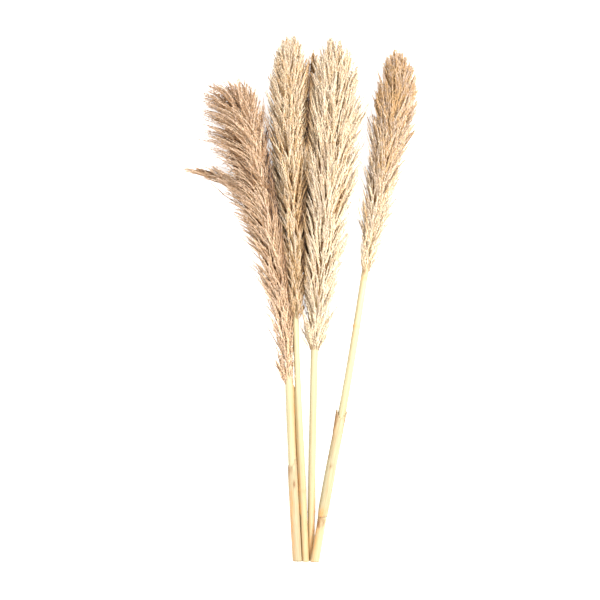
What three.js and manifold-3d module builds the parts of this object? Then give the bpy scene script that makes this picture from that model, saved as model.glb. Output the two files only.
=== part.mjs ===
// A bundle of dried pampas grass that lies on a surface: four cut culms, the feathery plume on each,
// and the dry leaf sheaths that still wrap two of them. Millimetres, +Z up. The cut ends lie towards
// -Y and the plume tips towards +Y. The origin is on the surface, under the middle of the bundle.

import * as THREE from 'three';
import { mergeVertices } from 'three/addons/utils/BufferGeometryUtils.js';
import Module from 'manifold-3d';

const wasm = await Module();
wasm.setup();

// The whole bundle
const bundleLength = 700;
const cutEndY = -bundleLength / 2;
const pieceGap = 0.3;

// Culms: a many-sided stem with a low ring at each node, and a thinner end inside the plume
const culmSides = 12;
const culmStep = 45;
const nodeRingHeight = 0.5;
const nodeRingHalfLength = 3;
const socketDepth = 28;
const culmTopShare = 0.55;

// Leaf sheaths: a thin wall round the culm. Its torn edge is a wide wave and a narrow one added up.
const sheathWall = 0.9;
const sheathGap = 0.4;
const sheathStep = 24;
const tearWideShare = 0.6;
const tearNarrowShare = 0.4;
const lipPower = 4;

// Plume cores: shares of the plume's half width to the side, on top and below, and shares of its length
const coreSides = 8;
const coreRings = 11;
const coreEndShare = 0.88;
const coreSideShare = 0.54;
const coreTipShare = 0.2;
const coreSlimPower = 8;
const coreTopShare = 0.48;
const coreUnderShare = 0.72;
const coreMouthEnd = 0.1;
const coreMouthFade = 0.17;
const restDepth = 3;
const tableDepth = 40;

// Tufts: rooted along the core, evenly turned, and ending on the plume's outline or a little off it
const plumeTopShare = 0.82;
const tuftWidth = 4.6;
const tuftThickness = 2.8;
const tuftRootDepth = 0.3;
const firstRoot = 0.01;
const rootSpan = 0.86;
const rootPower = 0.8;
const goldenAngle = Math.PI * (3 - Math.sqrt(5));
const turnSpread = 0.5;
const lengthSpread = 0.4;
const raggedTop = 0.05;
const nearestTip = 0.92;
const tipSpread = 0.14;
const strayChance = 0.1;
const strayTip = 1.22;

// Upright planes between neighbours, each through two points [x, y] seen from above
const fencePlumes12 = { foot: [-12.7, -27.3], head: [-55.3, 272.7] };
const fencePlume1Culm2 = { foot: [-8.8, -114], head: [-12.7, -27.3] };
const fencePlumes23 = { foot: [2.7, -27.3], head: [12.7, 319.3] };
const fencePlumes34 = { foot: [75.3, 152.7], head: [88.7, 266] };

const up = new THREE.Vector3(0, 0, 1);

// Colours and roughnesses
const strawYellow = '#f2e3ae';
const paleStraw = '#efe0b4';
const rosyBeige = '#d3b08a';
const creamBeige = '#e2c79c';
const stainedStraw = '#e8cf9f';
const smoothStraw = 0.5;
const dryFluff = 0.9;

// The stalks from left to right. A route is a list of [x, y, z] down the middle of its piece.
const stalks = [
  {
    name: '1',
    seed: 14,
    culm: {
      route: [[-3.5, cutEndY, 7.2], [-10.7, -227, 8.8], [-14.5, -140, 11.6]],
      footRadius: 5.5,
      headRadius: 5.3,
      nodesAt: [],
    },
    sheath: { from: 0, to: 128, extraFoot: 0.4, tearDepth: 9, tearTurn: 0.6, lip: 0 },
    plumes: [
      {
        route: [[-15.3, -114, 12.5], [-21.3, -27, 14], [-35.3, 53, 17.5], [-63, 153, 20.5],
          [-91, 238, 20.5], [-114, 283, 14]],
        halfWidth: 36,
        mouthHalfWidth: 6.5,
        widestAt: 0.84,
        rise: 0.72,
        fall: 0.36,
        tufts: 280,
        tuftLength: [42, 78],
      },
      {
        route: [[-31.3, 42, 18], [-51.3, 95.3, 18], [-72.7, 128.7, 17], [-94, 151, 15.5],
          [-117, 162, 14], [-155, 170.5, 11]],
        halfWidth: 14,
        mouthHalfWidth: 9,
        widestAt: 0.55,
        rise: 0.8,
        fall: 0.8,
        tufts: 66,
        tuftLength: [34, 46],
      },
    ],
    leftOf: [fencePlumes12, fencePlume1Culm2],
    rightOf: [],
    culmColour: strawYellow,
    plumeColour: rosyBeige,
  },
  {
    name: '2',
    seed: 24,
    culm: {
      route: [[7.1, cutEndY, 12.2], [1.9, -227, 12.2], [-2.9, -127, 12.3]],
      footRadius: 4.4,
      headRadius: 4.2,
      nodesAt: [96],
    },
    plumes: [
      {
        route: [[-6.5, -27.3, 12.5], [-7, 40, 12.5], [-9.3, 132.7, 13.4], [-14.5, 220, 13.8],
          [-16, 300, 13], [-14, 350, 11]],
        halfWidth: 29,
        mouthHalfWidth: 5.4,
        widestAt: 0.78,
        rise: 0.6,
        fall: 0.42,
        tufts: 255,
        tuftLength: [42, 75],
      },
    ],
    leftOf: [fencePlumes23],
    rightOf: [fencePlumes12],
    culmColour: paleStraw,
    plumeColour: creamBeige,
  },
  {
    name: '3',
    seed: 35,
    culm: {
      route: [[13.7, cutEndY, 5.05], [15.5, -227, 7], [17.5, -127, 10.2]],
      footRadius: 5,
      headRadius: 5,
      nodesAt: [66],
    },
    plumes: [
      {
        route: [[18.8, -70, 12.5], [22.5, 0, 16], [31.3, 86, 19.5], [40, 185, 20.5],
          [44.8, 290, 17.5], [46, 341, 12]],
        halfWidth: 38,
        mouthHalfWidth: 6,
        widestAt: 0.68,
        rise: 0.62,
        fall: 0.45,
        tufts: 330,
        tuftLength: [42, 78],
      },
    ],
    leftOf: [fencePlumes34],
    rightOf: [fencePlumes23],
    culmColour: paleStraw,
    plumeColour: creamBeige,
  },
  {
    name: '4',
    seed: 50,
    culm: {
      route: [[19.2, cutEndY, 15.3], [40.4, -227, 14.2], [60, -127, 13.2], [74.3, -40.7, 12.4]],
      footRadius: 6.1,
      headRadius: 4.8,
      nodesAt: [57, 320],
    },
    sheath: { from: 61, to: 196, extraFoot: 0.2, tearDepth: 12, tearTurn: 2.9, lip: 1.6 },
    plumes: [
      {
        route: [[86.4, 36.7, 12], [94, 86, 13.5], [112, 186, 15.5], [120.7, 232.7, 15.5],
          [127.3, 279.3, 14.5], [131.3, 332, 11]],
        halfWidth: 28.5,
        mouthHalfWidth: 5.8,
        widestAt: 0.7,
        rise: 0.6,
        fall: 0.6,
        tufts: 225,
        tuftLength: [40, 70],
      },
    ],
    leftOf: [],
    rightOf: [fencePlumes34],
    culmColour: strawYellow,
    plumeColour: creamBeige,
  },
];

// A repeatable random draw from 0 to 1
function seededDraw(seed) {
  let state = seed * 7919;
  return () => {
    state = (state * 1664525 + 1013904223) % 4294967296;
    return state / 4294967296;
  };
}

function routeCurve(points) {
  return new THREE.CatmullRomCurve3(points.map((point) => new THREE.Vector3(...point)), false, 'centripetal');
}

// Turns a closed geometry into a solid that can be joined and cut
function toSolid(geometry) {
  geometry.deleteAttribute('normal');
  geometry.deleteAttribute('uv');
  const merged = mergeVertices(geometry, 1e-4);
  return new wasm.Manifold(new wasm.Mesh({
    numProp: 3,
    vertProperties: new Float32Array(merged.attributes.position.array),
    triVerts: new Uint32Array(merged.index.array),
  }));
}

function toGeometry(solid) {
  const mesh = solid.getMesh();
  const geometry = new THREE.BufferGeometry();
  geometry.setAttribute('position', new THREE.BufferAttribute(mesh.vertProperties, 3));
  geometry.setIndex(new THREE.BufferAttribute(mesh.triVerts, 1));
  return geometry;
}

// Moves every vertex of a geometry to where place(vertex) says
function reshape(geometry, place) {
  const positions = geometry.attributes.position;
  const vertex = new THREE.Vector3();
  for (let i = 0; i < positions.count; i++) {
    vertex.fromBufferAttribute(positions, i);
    const moved = place(vertex);
    positions.setXYZ(i, moved.x, moved.y, moved.z);
  }
  return geometry;
}

// Distance of a point to the left of a fence, seen from above with the fence's head up
function leftOfFence(point, fence) {
  const along = new THREE.Vector2(fence.head[0] - fence.foot[0], fence.head[1] - fence.foot[1]).normalize();
  return along.x * (point.y - fence.foot[1]) - along.y * (point.x - fence.foot[0]);
}

// Pushes a point to its stalk's side of each fence, at least the margin away from it, and above the table
function keepInPlace(point, stalk, margin) {
  const push = (fence, side) => {
    const shortfall = margin - side * leftOfFence(point, fence);
    if (shortfall <= 0) return;
    const along = new THREE.Vector2(fence.head[0] - fence.foot[0], fence.head[1] - fence.foot[1]).normalize();
    point.x -= side * along.y * shortfall;
    point.y += side * along.x * shortfall;
  };
  for (const fence of stalk.leftOf) push(fence, 1);
  for (const fence of stalk.rightOf) push(fence, -1);
  return point;
}

// A culm's route runs on along the plume's as far as the socket is deep
function culmCurve(stalk) {
  const plume = routeCurve(stalk.plumes[0].route);
  const inside = plume.getPointAt(socketDepth / plume.getLength());
  const route = [...stalk.culm.route, stalk.plumes[0].route[0], [inside.x, inside.y, inside.z]];
  return routeCurve(route);
}

function culmRadius(stalk, distance, length) {
  const { footRadius, headRadius, nodesAt } = stalk.culm;
  const plain = THREE.MathUtils.lerp(footRadius, headRadius, Math.min(distance / (length - socketDepth), 1));
  const inPlume = THREE.MathUtils.clamp((distance - length + socketDepth) / socketDepth, 0, 1);
  const taper = THREE.MathUtils.lerp(1, culmTopShare, inPlume);
  const onNode = nodesAt.some((at) => Math.abs(at - distance) < nodeRingHalfLength / 2);
  return plain * taper + (onNode ? nodeRingHeight : 0);
}

function culmStations(stalk, length, end) {
  const stations = [0, length - socketDepth, end];
  const steps = Math.round((length - socketDepth) / culmStep);
  for (let i = 1; i < steps; i++) stations.push((i * (length - socketDepth)) / steps);
  for (const at of stalk.culm.nodesAt) stations.push(at - nodeRingHalfLength, at, at + nodeRingHalfLength);
  return stations.sort((a, b) => a - b);
}

// Bends a lathe along a culm. Its sections stay level across the bundle, so that the cut end is flat.
function bendAlongCulm(geometry, curve, length) {
  return reshape(geometry, (vertex) => {
    const share = THREE.MathUtils.clamp(vertex.y / length, 0, 1);
    const middle = curve.getPointAt(share);
    const slant = curve.getTangentAt(share).y;
    return new THREE.Vector3(middle.x + vertex.x / slant, middle.y, middle.z + vertex.z);
  });
}

// The culm ends a gap short of its route's end, and the socket in the plume is larger by that clearance
function culmSolid(stalk, clearance = 0) {
  const curve = culmCurve(stalk);
  const length = curve.getLength();
  const end = length - pieceGap + clearance;
  const profile = [new THREE.Vector2(0, 0)];
  for (const distance of culmStations(stalk, length, end)) {
    profile.push(new THREE.Vector2(culmRadius(stalk, distance, length) + clearance, distance));
  }
  profile.push(new THREE.Vector2(0, end));
  return toSolid(bendAlongCulm(new THREE.LatheGeometry(profile, culmSides), curve, length));
}

// A sheath is a lathe whose profile runs up its outside and down its inside. Near its upper edge the wall
// is drawn out or cut short by the tear, and it stands off the culm at the lip.
function sheathSolid(stalk) {
  const { from, to, extraFoot, tearDepth, tearTurn, lip } = stalk.sheath;
  const curve = culmCurve(stalk);
  const length = curve.getLength();
  const rings = Math.round((to - from) / sheathStep);
  const outside = [];
  const inside = [];
  for (let i = 0; i <= rings; i++) {
    const distance = from + (i * (to - from)) / rings;
    const inner = culmRadius(stalk, distance, length) + sheathGap;
    const extra = extraFoot * (1 - i / rings);
    outside.push(new THREE.Vector2(inner + sheathWall + extra, distance));
    inside.unshift(new THREE.Vector2(inner, distance));
  }
  const geometry = new THREE.LatheGeometry([...outside, ...inside, outside[0]], culmSides);
  const torn = reshape(geometry, (vertex) => {
    const turn = Math.atan2(vertex.z, vertex.x) - tearTurn;
    const edge = THREE.MathUtils.clamp((vertex.y - to + sheathStep) / sheathStep, 0, 1);
    const tear = tearDepth * (tearWideShare * Math.cos(turn) + tearNarrowShare * Math.cos(3 * turn));
    const standOff = lip * Math.max(0, Math.cos(turn)) ** lipPower;
    const grow = 1 + (edge * standOff) / Math.hypot(vertex.x, vertex.z);
    return new THREE.Vector3(vertex.x * grow, vertex.y + edge * tear, vertex.z * grow);
  });
  return toSolid(bendAlongCulm(torn, curve, length));
}

// Half width of a plume at a share of its length: it rises from the mouth to the widest place, then closes
function plumeHalfWidth(plume, share) {
  const { halfWidth, mouthHalfWidth, widestAt, rise, fall } = plume;
  if (share <= widestAt) {
    return mouthHalfWidth + (halfWidth - mouthHalfWidth) * (Math.max(share, 0) / widestAt) ** rise;
  }
  const past = Math.min((share - widestAt) / (1 - widestAt), 1);
  return halfWidth * (1 - past * past) ** fall;
}

// Point of a plume: a share of its length, then an offset to its side and one towards its top
function plumePoint(curve, share, aside, above) {
  const at = THREE.MathUtils.clamp(share, 0, 1);
  const middle = curve.getPointAt(at);
  const along = curve.getTangentAt(at);
  const side = new THREE.Vector3().crossVectors(along, up).normalize();
  const top = new THREE.Vector3().crossVectors(side, along);
  return middle.addScaledVector(side, aside).addScaledVector(top, above);
}

// Half width of the core: a share of the plume's, but never less than the mouth's, and slim at its end
function coreHalfWidth(plume, share) {
  const slim = THREE.MathUtils.lerp(coreSideShare, coreTipShare, (share / coreEndShare) ** coreSlimPower);
  const fade = THREE.MathUtils.clamp((coreMouthEnd + coreMouthFade - share) / coreMouthFade, 0, 1);
  const mouth = plume.mouthHalfWidth * fade;
  return Math.max(plumeHalfWidth(plume, share) * slim, mouth);
}

// The core is a lathe along the plume's route, flatter on top and reaching a little into the table below
function plumeCore(stalk, plume, curve) {
  const profile = [new THREE.Vector2(0, 0)];
  for (let i = 0; i < coreRings; i++) {
    const share = (coreEndShare * i) / (coreRings - 1);
    profile.push(new THREE.Vector2(coreHalfWidth(plume, share), share));
  }
  profile.push(new THREE.Vector2(0, coreEndShare));
  const geometry = reshape(new THREE.LatheGeometry(profile, coreSides), (vertex) => {
    const round = vertex.z / coreHalfWidth(plume, vertex.y);
    const full = plumeHalfWidth(plume, vertex.y);
    const rest = plumePoint(curve, vertex.y, 0, 0).z + restDepth;
    const tall = round > 0 ? full * coreTopShare : Math.min(full * coreUnderShare, rest);
    const height = round * Math.max(tall, Math.min(coreHalfWidth(plume, vertex.y), plume.mouthHalfWidth));
    return keepInPlace(plumePoint(curve, vertex.y, vertex.x, height), stalk, pieceGap);
  });
  return toSolid(geometry);
}

// One tuft: a three-sided blade from its root in the core to its tip
function tuftSolid(root, tip) {
  const along = new THREE.Vector3().subVectors(tip, root);
  const side = new THREE.Vector3().crossVectors(along, up).normalize();
  const top = new THREE.Vector3().crossVectors(side, along).normalize();
  const middle = root.clone().addScaledVector(along, 0.5);
  return toSolid(reshape(new THREE.ConeGeometry(1, 1, 3), (vertex) => middle.clone()
    .addScaledVector(along, vertex.y)
    .addScaledVector(side, (vertex.x * tuftWidth) / 2)
    .addScaledVector(top, (vertex.z * tuftThickness) / 2)));
}

// Point of a plume at a turn about its route: depth 0 is on the route and 1 on the outline. The outline is
// an oval that is flattened by the table below, and the margin keeps the point off the table and the fences.
function outlinePoint(stalk, plume, curve, share, turn, depth, margin) {
  const halfWidth = plumeHalfWidth(plume, share);
  const top = halfWidth * plumeTopShare;
  const under = Math.min(top, plumePoint(curve, share, 0, 0).z);
  const height = Math.sin(turn) * (Math.sin(turn) > 0 ? top : under);
  const point = plumePoint(curve, share, Math.cos(turn) * halfWidth * depth, height * depth);
  point.z = Math.max(point.z, margin);
  return keepInPlace(point, stalk, margin);
}

function plumeTufts(stalk, plume, curve, draw) {
  const [shortTuft, longTuft] = plume.tuftLength;
  const tufts = [];
  for (let i = 0; i < plume.tufts; i++) {
    const rootShare = firstRoot + rootSpan * ((i + 0.5) / plume.tufts) ** rootPower;
    const turn = i * goldenAngle + turnSpread * (draw() - 0.5);
    const usual = THREE.MathUtils.lerp(shortTuft, longTuft, Math.sin(Math.PI * rootShare));
    const reach = usual * (1 + lengthSpread * (draw() - 0.5));
    const tipShare = Math.min(rootShare + reach / curve.getLength(), 1 - raggedTop * draw());
    const depth = draw() < strayChance ? strayTip : nearestTip + tipSpread * draw();
    const rootMargin = pieceGap + tuftWidth / 2;
    const root = outlinePoint(stalk, plume, curve, rootShare, turn, tuftRootDepth, rootMargin);
    const tip = outlinePoint(stalk, plume, curve, tipShare, turn, depth, pieceGap);
    tufts.push(tuftSolid(root, tip));
  }
  return tufts;
}

// Keeps the largest body, which drops loose scraps and fills sealed hollows
function largestBody(solid) {
  return solid.decompose().reduce((best, body) => (body.volume() > best.volume() ? body : best));
}

function tableSolid() {
  const box = new THREE.BoxGeometry(bundleLength, 2 * bundleLength, tableDepth);
  return toSolid(box.translate(0, 0, -tableDepth / 2));
}

// A plume: its cores and tufts joined, cut flat where it lies, with the socket that the culm ends in
function plumeSolid(stalk) {
  const draw = seededDraw(stalk.seed);
  const parts = stalk.plumes.flatMap((plume) => {
    const curve = routeCurve(plume.route);
    return [plumeCore(stalk, plume, curve), ...plumeTufts(stalk, plume, curve, draw)];
  });
  const grown = wasm.Manifold.union(parts);
  return largestBody(grown.subtract(tableSolid()).subtract(culmSolid(stalk, pieceGap)));
}

function addPiece(group, name, solid, colour, roughness) {
  const material = new THREE.MeshStandardMaterial({ color: colour, roughness, metalness: 0 });
  const mesh = new THREE.Mesh(toGeometry(solid), material);
  mesh.name = name;
  group.add(mesh);
}

const group = new THREE.Group();
for (const stalk of stalks) {
  addPiece(group, `culm_${stalk.name}`, culmSolid(stalk), stalk.culmColour, smoothStraw);
  addPiece(group, `plume_${stalk.name}`, plumeSolid(stalk), stalk.plumeColour, dryFluff);
  if (stalk.sheath) addPiece(group, `leaf_sheath_${stalk.name}`, sheathSolid(stalk), stainedStraw, dryFluff);
}

export default group;
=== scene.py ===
"""A bundle of dried pampas grass that lies on a pale floor, dressed over its CAD frame.

The frame holds four culms, the plume on each and two dry leaf sheaths. Here each culm and sheath gets
a finer surface over the same route and radii, and each plume gets its branchlets, every one a strand
of overlapping spikelets with silky hairs. All lengths are in metres, the cut ends lie towards -Y and
the plume tips towards +Y, and the bundle lies on the plane Z = 0.
"""

import logging
import math
from dataclasses import dataclass, field
from enum import Enum

import bpy
import numpy as np
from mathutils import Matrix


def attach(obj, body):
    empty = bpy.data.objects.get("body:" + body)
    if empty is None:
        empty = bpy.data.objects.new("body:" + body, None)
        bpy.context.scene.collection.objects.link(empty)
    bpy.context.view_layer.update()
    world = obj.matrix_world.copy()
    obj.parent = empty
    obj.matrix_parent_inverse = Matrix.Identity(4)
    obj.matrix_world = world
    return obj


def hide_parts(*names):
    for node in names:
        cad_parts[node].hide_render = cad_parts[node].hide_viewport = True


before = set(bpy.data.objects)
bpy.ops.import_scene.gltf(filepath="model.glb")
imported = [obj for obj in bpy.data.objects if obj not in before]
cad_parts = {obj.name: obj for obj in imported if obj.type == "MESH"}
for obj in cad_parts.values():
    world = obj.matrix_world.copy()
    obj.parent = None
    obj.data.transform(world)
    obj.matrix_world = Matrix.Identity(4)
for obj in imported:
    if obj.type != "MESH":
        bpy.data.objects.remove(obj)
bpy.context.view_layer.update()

log = logging.getLogger("pampas_grass")

MM = 0.001
TINY = 1e-12
NUDGE = 1e-6
UP = np.array([0.0, 0.0, 1.0])
GOLDEN_ANGLE = math.pi * (3 - math.sqrt(5))
ROOT_BODY = "root"

Array = np.ndarray
Pair = tuple[float, float]
Colour = tuple[float, float, float]
Socket = bpy.types.NodeSocket
Input = Socket | float | Colour


class Side(Enum):
    """Which side of an upright plane a stalk keeps to, seen from above with the plane's head up."""

    LEFT = 1
    RIGHT = -1


class Tint(Enum):
    """The two kinds of stain on straw, which also paint shade where a culm lies against or under a neighbour;
    the value is the name of the mesh attribute that holds it.
    """

    BROWN = "brown_stain_and_shade"
    RUST = "rust_stain_and_shade"


def unit(vectors: Array) -> Array:
    """Vectors divided by their own lengths, so that each of them is one long."""
    return vectors / np.maximum(np.linalg.norm(vectors, axis=-1, keepdims=True), TINY)


def across(along: Array) -> tuple[Array, Array]:
    """Two directions square to each one given: side = along x up, and top = along x side."""
    side = unit(np.cross(along, UP))
    return side, np.cross(along, side)


def turned(turn: Array, side: Array, top: Array) -> Array:
    """Vectors turned from side towards top: cos(turn) * side + sin(turn) * top."""
    return np.cos(turn)[..., None] * side + np.sin(turn)[..., None] * top


def even_turns(count: int) -> Array:
    """Turns spread evenly round a full circle, from 0 on."""
    return np.linspace(0, 2 * np.pi, count, endpoint=False)


def turn_from(turn: Array, middle: float) -> Array:
    """How far turns lie from a middle one, the short way round and in radians."""
    return np.angle(np.exp(1j * (turn - middle)))


def bell(share: Array) -> Array:
    """A bell curve, exp(-share ** 2), which is 1 in its middle."""
    return np.exp(-(share**2))


@dataclass
class Shape:
    """One or more closed surfaces as whole arrays.

    Attributes:
        vertices: One row of x, y, z for each vertex.
        faces: Arrays of vertex numbers with three or four columns, counter-clockwise from outside.
        marks: Values per vertex that materials read by name, with one or three columns.
    """

    vertices: Array
    faces: list[Array]
    marks: dict[str, Array] = field(default_factory=dict)

    @staticmethod
    def joined(shapes: list["Shape"]) -> "Shape":
        """Several shapes as one, with the vertex numbers of each moved past those before it.

        Args:
            shapes: Shapes with the same names in their marks.

        Returns:
            The joined shape.
        """
        starts = np.cumsum([0] + [len(shape.vertices) for shape in shapes])
        faces = [part + start for shape, start in zip(shapes, starts) for part in shape.faces]
        marks = {
            name: np.concatenate([shape.marks[name] for shape in shapes]) for name in shapes[0].marks
        }
        return Shape(np.concatenate([shape.vertices for shape in shapes]), faces, marks)

    def to_object(self, name: str) -> bpy.types.Object:
        """Puts the arrays into a smooth-shaded mesh object at the origin.

        Args:
            name: The object's and the mesh's name.

        Returns:
            The object, linked to the scene.
        """
        corners = np.concatenate([part.ravel() for part in self.faces]).astype(np.int32)
        sizes = np.concatenate([np.full(len(part), part.shape[1]) for part in self.faces])
        starts = np.concatenate([[0], np.cumsum(sizes)[:-1]]).astype(np.int32)
        mesh = bpy.data.meshes.new(name)
        mesh.vertices.add(len(self.vertices))
        mesh.vertices.foreach_set("co", self.vertices.astype(np.float32).ravel())
        mesh.loops.add(len(corners))
        mesh.loops.foreach_set("vertex_index", corners)
        mesh.polygons.add(len(sizes))
        mesh.polygons.foreach_set("loop_start", starts)
        mesh.update(calc_edges=True)
        mesh.polygons.foreach_set("use_smooth", np.ones(len(sizes), dtype=bool))
        for mark, values in self.marks.items():
            kind, slot = ("FLOAT_VECTOR", "vector") if values.ndim == 2 else ("FLOAT", "value")
            mesh.attributes.new(mark, kind, "POINT").data.foreach_set(slot, values.astype(np.float32).ravel())
        piece = bpy.data.objects.new(name, mesh)
        bpy.context.scene.collection.objects.link(piece)
        return piece


def grid_faces(rings: int, sides: int, looped: bool = False) -> Array:
    """Quads between neighbouring rings, where vertex (ring, side) has the number ring * sides + side.

    Args:
        rings: The number of rings.
        sides: The number of vertices in a ring.
        looped: Whether the last ring is joined to the first one.

    Returns:
        Vertex numbers, four to a row.
    """
    ring, turn = np.meshgrid(np.arange(rings if looped else rings - 1), np.arange(sides), indexing="ij")
    after, beside = (ring + 1) % rings, (turn + 1) % sides
    quads = [ring * sides + turn, ring * sides + beside, after * sides + beside, after * sides + turn]
    return np.stack(quads, axis=-1).reshape(-1, 4)


def closed_faces(rings: int, sides: int) -> list[Array]:
    """The faces of a ringed surface that one point closes at each end.

    Args:
        rings: The number of rings.
        sides: The number of vertices in a ring. The two points have the numbers after the last ring's.

    Returns:
        The quads between the rings, and the triangles round both points.
    """
    turn = np.arange(sides)
    beside, last = (turn + 1) % sides, (rings - 1) * sides
    foot = np.stack([np.full(sides, rings * sides), beside, turn], axis=1)
    head = np.stack([np.full(sides, rings * sides + 1), last + turn, last + beside], axis=1)
    return [grid_faces(rings, sides), np.concatenate([foot, head])]


def flipped(faces: list[Array]) -> list[Array]:
    """The same faces, looking the other way."""
    return [part[:, ::-1] for part in faces]


def tubes(paths: Array, radii: Array, sides: int) -> tuple[Array, list[Array]]:
    """Round tubes along paths, closed by a point at both ends.

    Vertex = path + radius * (cos(turn) * side + sin(turn) * top), with the turns spread evenly.

    Args:
        paths: Points, as tube by step by x, y, z.
        radii: Radii, as tube by step.
        sides: The number of vertices in a ring.

    Returns:
        The vertices, as tube by vertex by x, y, z, and the face arrays for all the tubes.
    """
    count, steps = radii.shape
    side, top = across(unit(np.gradient(paths, axis=1)))
    ring = turned(even_turns(sides), side[:, :, None], top[:, :, None])
    body = (paths[:, :, None] + radii[:, :, None, None] * ring).reshape(count, steps * sides, 3)
    vertices = np.concatenate([body, paths[:, :1], paths[:, -1:]], axis=1)
    starts = np.arange(count)[:, None, None] * vertices.shape[1]
    faces = [(part[None] + starts).reshape(-1, part.shape[1]) for part in closed_faces(steps, sides)]
    return vertices, faces


def four_cornered(pattern: list[list[int]], count: int) -> list[Array]:
    """The triangles of many small parts, each with four vertices and the same pattern."""
    return [(np.array(pattern)[None] + np.arange(count)[:, None, None] * 4).reshape(-1, 3)]


def husks(
    base: Array, tip: Array, half_width: Array, belly: float, fold: float, roll: Array
) -> tuple[Array, list[Array]]:
    """Slender four-cornered husks: a keel from base to tip and two belly corners that spread over it.

    Args:
        base: Base points, one to a row.
        tip: Tip points.
        half_width: Distance from the keel to a belly corner.
        belly: The belly's place as a share of the length.
        fold: Turn of a belly corner away from straight up.
        roll: Turn of the husk about its keel, with 0 for the broad side up.

    Returns:
        The vertices, as husk by four by x, y, z, and the face arrays.
    """
    side, down = across(unit(tip - base))
    turns = roll[:, None] - np.pi / 2 + np.array([-fold, fold])
    middle = base + belly * (tip - base)
    corners = middle[:, None] + half_width[:, None, None] * turned(turns, side[:, None], down[:, None])
    vertices = np.concatenate([base[:, None], corners, tip[:, None]], axis=1)
    return vertices, four_cornered([[0, 2, 1], [3, 1, 2], [0, 1, 3], [0, 3, 2]], len(base))


def needles(base: Array, tip: Array, half_width: float) -> tuple[Array, list[Array]]:
    """Hair-thin closed needles: a small triangle at the base that runs out to a point at the tip.

    Args:
        base: Base points, one to a row.
        tip: Tip points.
        half_width: Distance from the middle to a corner of the base.

    Returns:
        The vertices, as needle by four by x, y, z, and the face arrays.
    """
    side, top = across(unit(tip - base))
    ring = turned(even_turns(3), side[:, None], top[:, None])
    vertices = np.concatenate([base[:, None] + half_width * ring, tip[:, None]], axis=1)
    return vertices, four_cornered([[0, 2, 1], [3, 0, 1], [3, 1, 2], [3, 2, 0]], len(base))


@dataclass
class Route:
    """A smooth curve through a few points, read by the share of its length.

    Between neighbours it is a cubic whose end slopes come from the points before and after, spaced by
    the square root of the distance between them. The curve runs on straight past both ends.

    Attributes:
        points: The points in metres, one to a row.
        steps: Points of the dense curve from one of them to the next.
    """

    points: Array
    steps: int = 80

    def __post_init__(self) -> None:
        """Works out the dense curve, how far along it each of its points lies, and its slopes."""
        ahead, beyond = 2 * self.points[0] - self.points[1], 2 * self.points[-1] - self.points[-2]
        p = np.vstack([ahead, self.points, beyond])
        gap = np.sqrt(np.linalg.norm(np.diff(p, axis=0), axis=1))[:, None]
        before, here, after = gap[:-2], gap[1:-1], gap[2:]
        p0, p1, p2, p3 = p[:-3], p[1:-2], p[2:-1], p[3:]
        leave = here * ((p1 - p0) / before - (p2 - p0) / (before + here) + (p2 - p1) / here)
        arrive = here * ((p2 - p1) / here - (p3 - p1) / (here + after) + (p3 - p2) / after)
        t = np.linspace(0, 1, self.steps, endpoint=False)[None, :, None]
        curve = (
            (1 + 2 * t) * (1 - t) ** 2 * p1[:, None]
            + t * (1 - t) ** 2 * leave[:, None]
            + t**2 * (3 - 2 * t) * p2[:, None]
            + t**2 * (t - 1) * arrive[:, None]
        )
        self.dense = np.vstack([curve.reshape(-1, 3), self.points[-1]])
        travel = np.concatenate([[0], np.cumsum(np.linalg.norm(np.diff(self.dense, axis=0), axis=1))])
        self.length = float(travel[-1])
        self.shares = travel / self.length
        self.slopes = unit(np.gradient(self.dense, axis=0))

    def _read(self, table: Array, share: Array) -> Array:
        """Reads a table of vectors along the curve, with straight lines between its rows."""
        inside = np.clip(share, 0, 1)
        return np.stack([np.interp(inside, self.shares, table[:, axis]) for axis in range(3)], axis=-1)

    def at(self, share: Array) -> Array:
        """Points of the curve at shares of its length."""
        return self._read(self.dense, share)

    def along(self, share: Array) -> Array:
        """Unit directions of the curve at shares of its length."""
        return unit(self._read(self.slopes, share))


def millimetre_route(*points: tuple[float, float, float]) -> Route:
    """A route through points that are given in millimetres."""
    return Route(np.array(points) * MM)


@dataclass(frozen=True)
class Fence:
    """An upright plane between two neighbours, which the pieces of a stalk don't cross.

    Attributes:
        foot: The plane's lower point x, y seen from above, in millimetres.
        head: Its upper point.
        side: The side that the stalk keeps to.
        touching: Whether the plumes touch there, so that their dense middles meet.
        groove: How fast the neighbours part with the height above the floor.
    """

    foot: Pair
    head: Pair
    side: Side
    touching: bool = True
    groove: float = 0.015

    def normal(self) -> Array:
        """The level unit vector that points from the plane into the stalk's own side."""
        along = unit(np.array([self.head[0] - self.foot[0], self.head[1] - self.foot[1], 0.0]))
        return self.side.value * np.array([-along[1], along[0], 0.0])

    def room(self, points: Array) -> Array:
        """How far points lie on the stalk's own side of the plane."""
        return (points - np.array([*self.foot, 0.0]) * MM) @ self.normal()

    def push(self, points: Array, margin: Array | float) -> Array:
        """Points moved level, where they need it, to a least room of margin + groove * height."""
        short = np.maximum(margin + self.groove * points[..., 2] - self.room(points), 0)
        return points + short[..., None] * self.normal()


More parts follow.
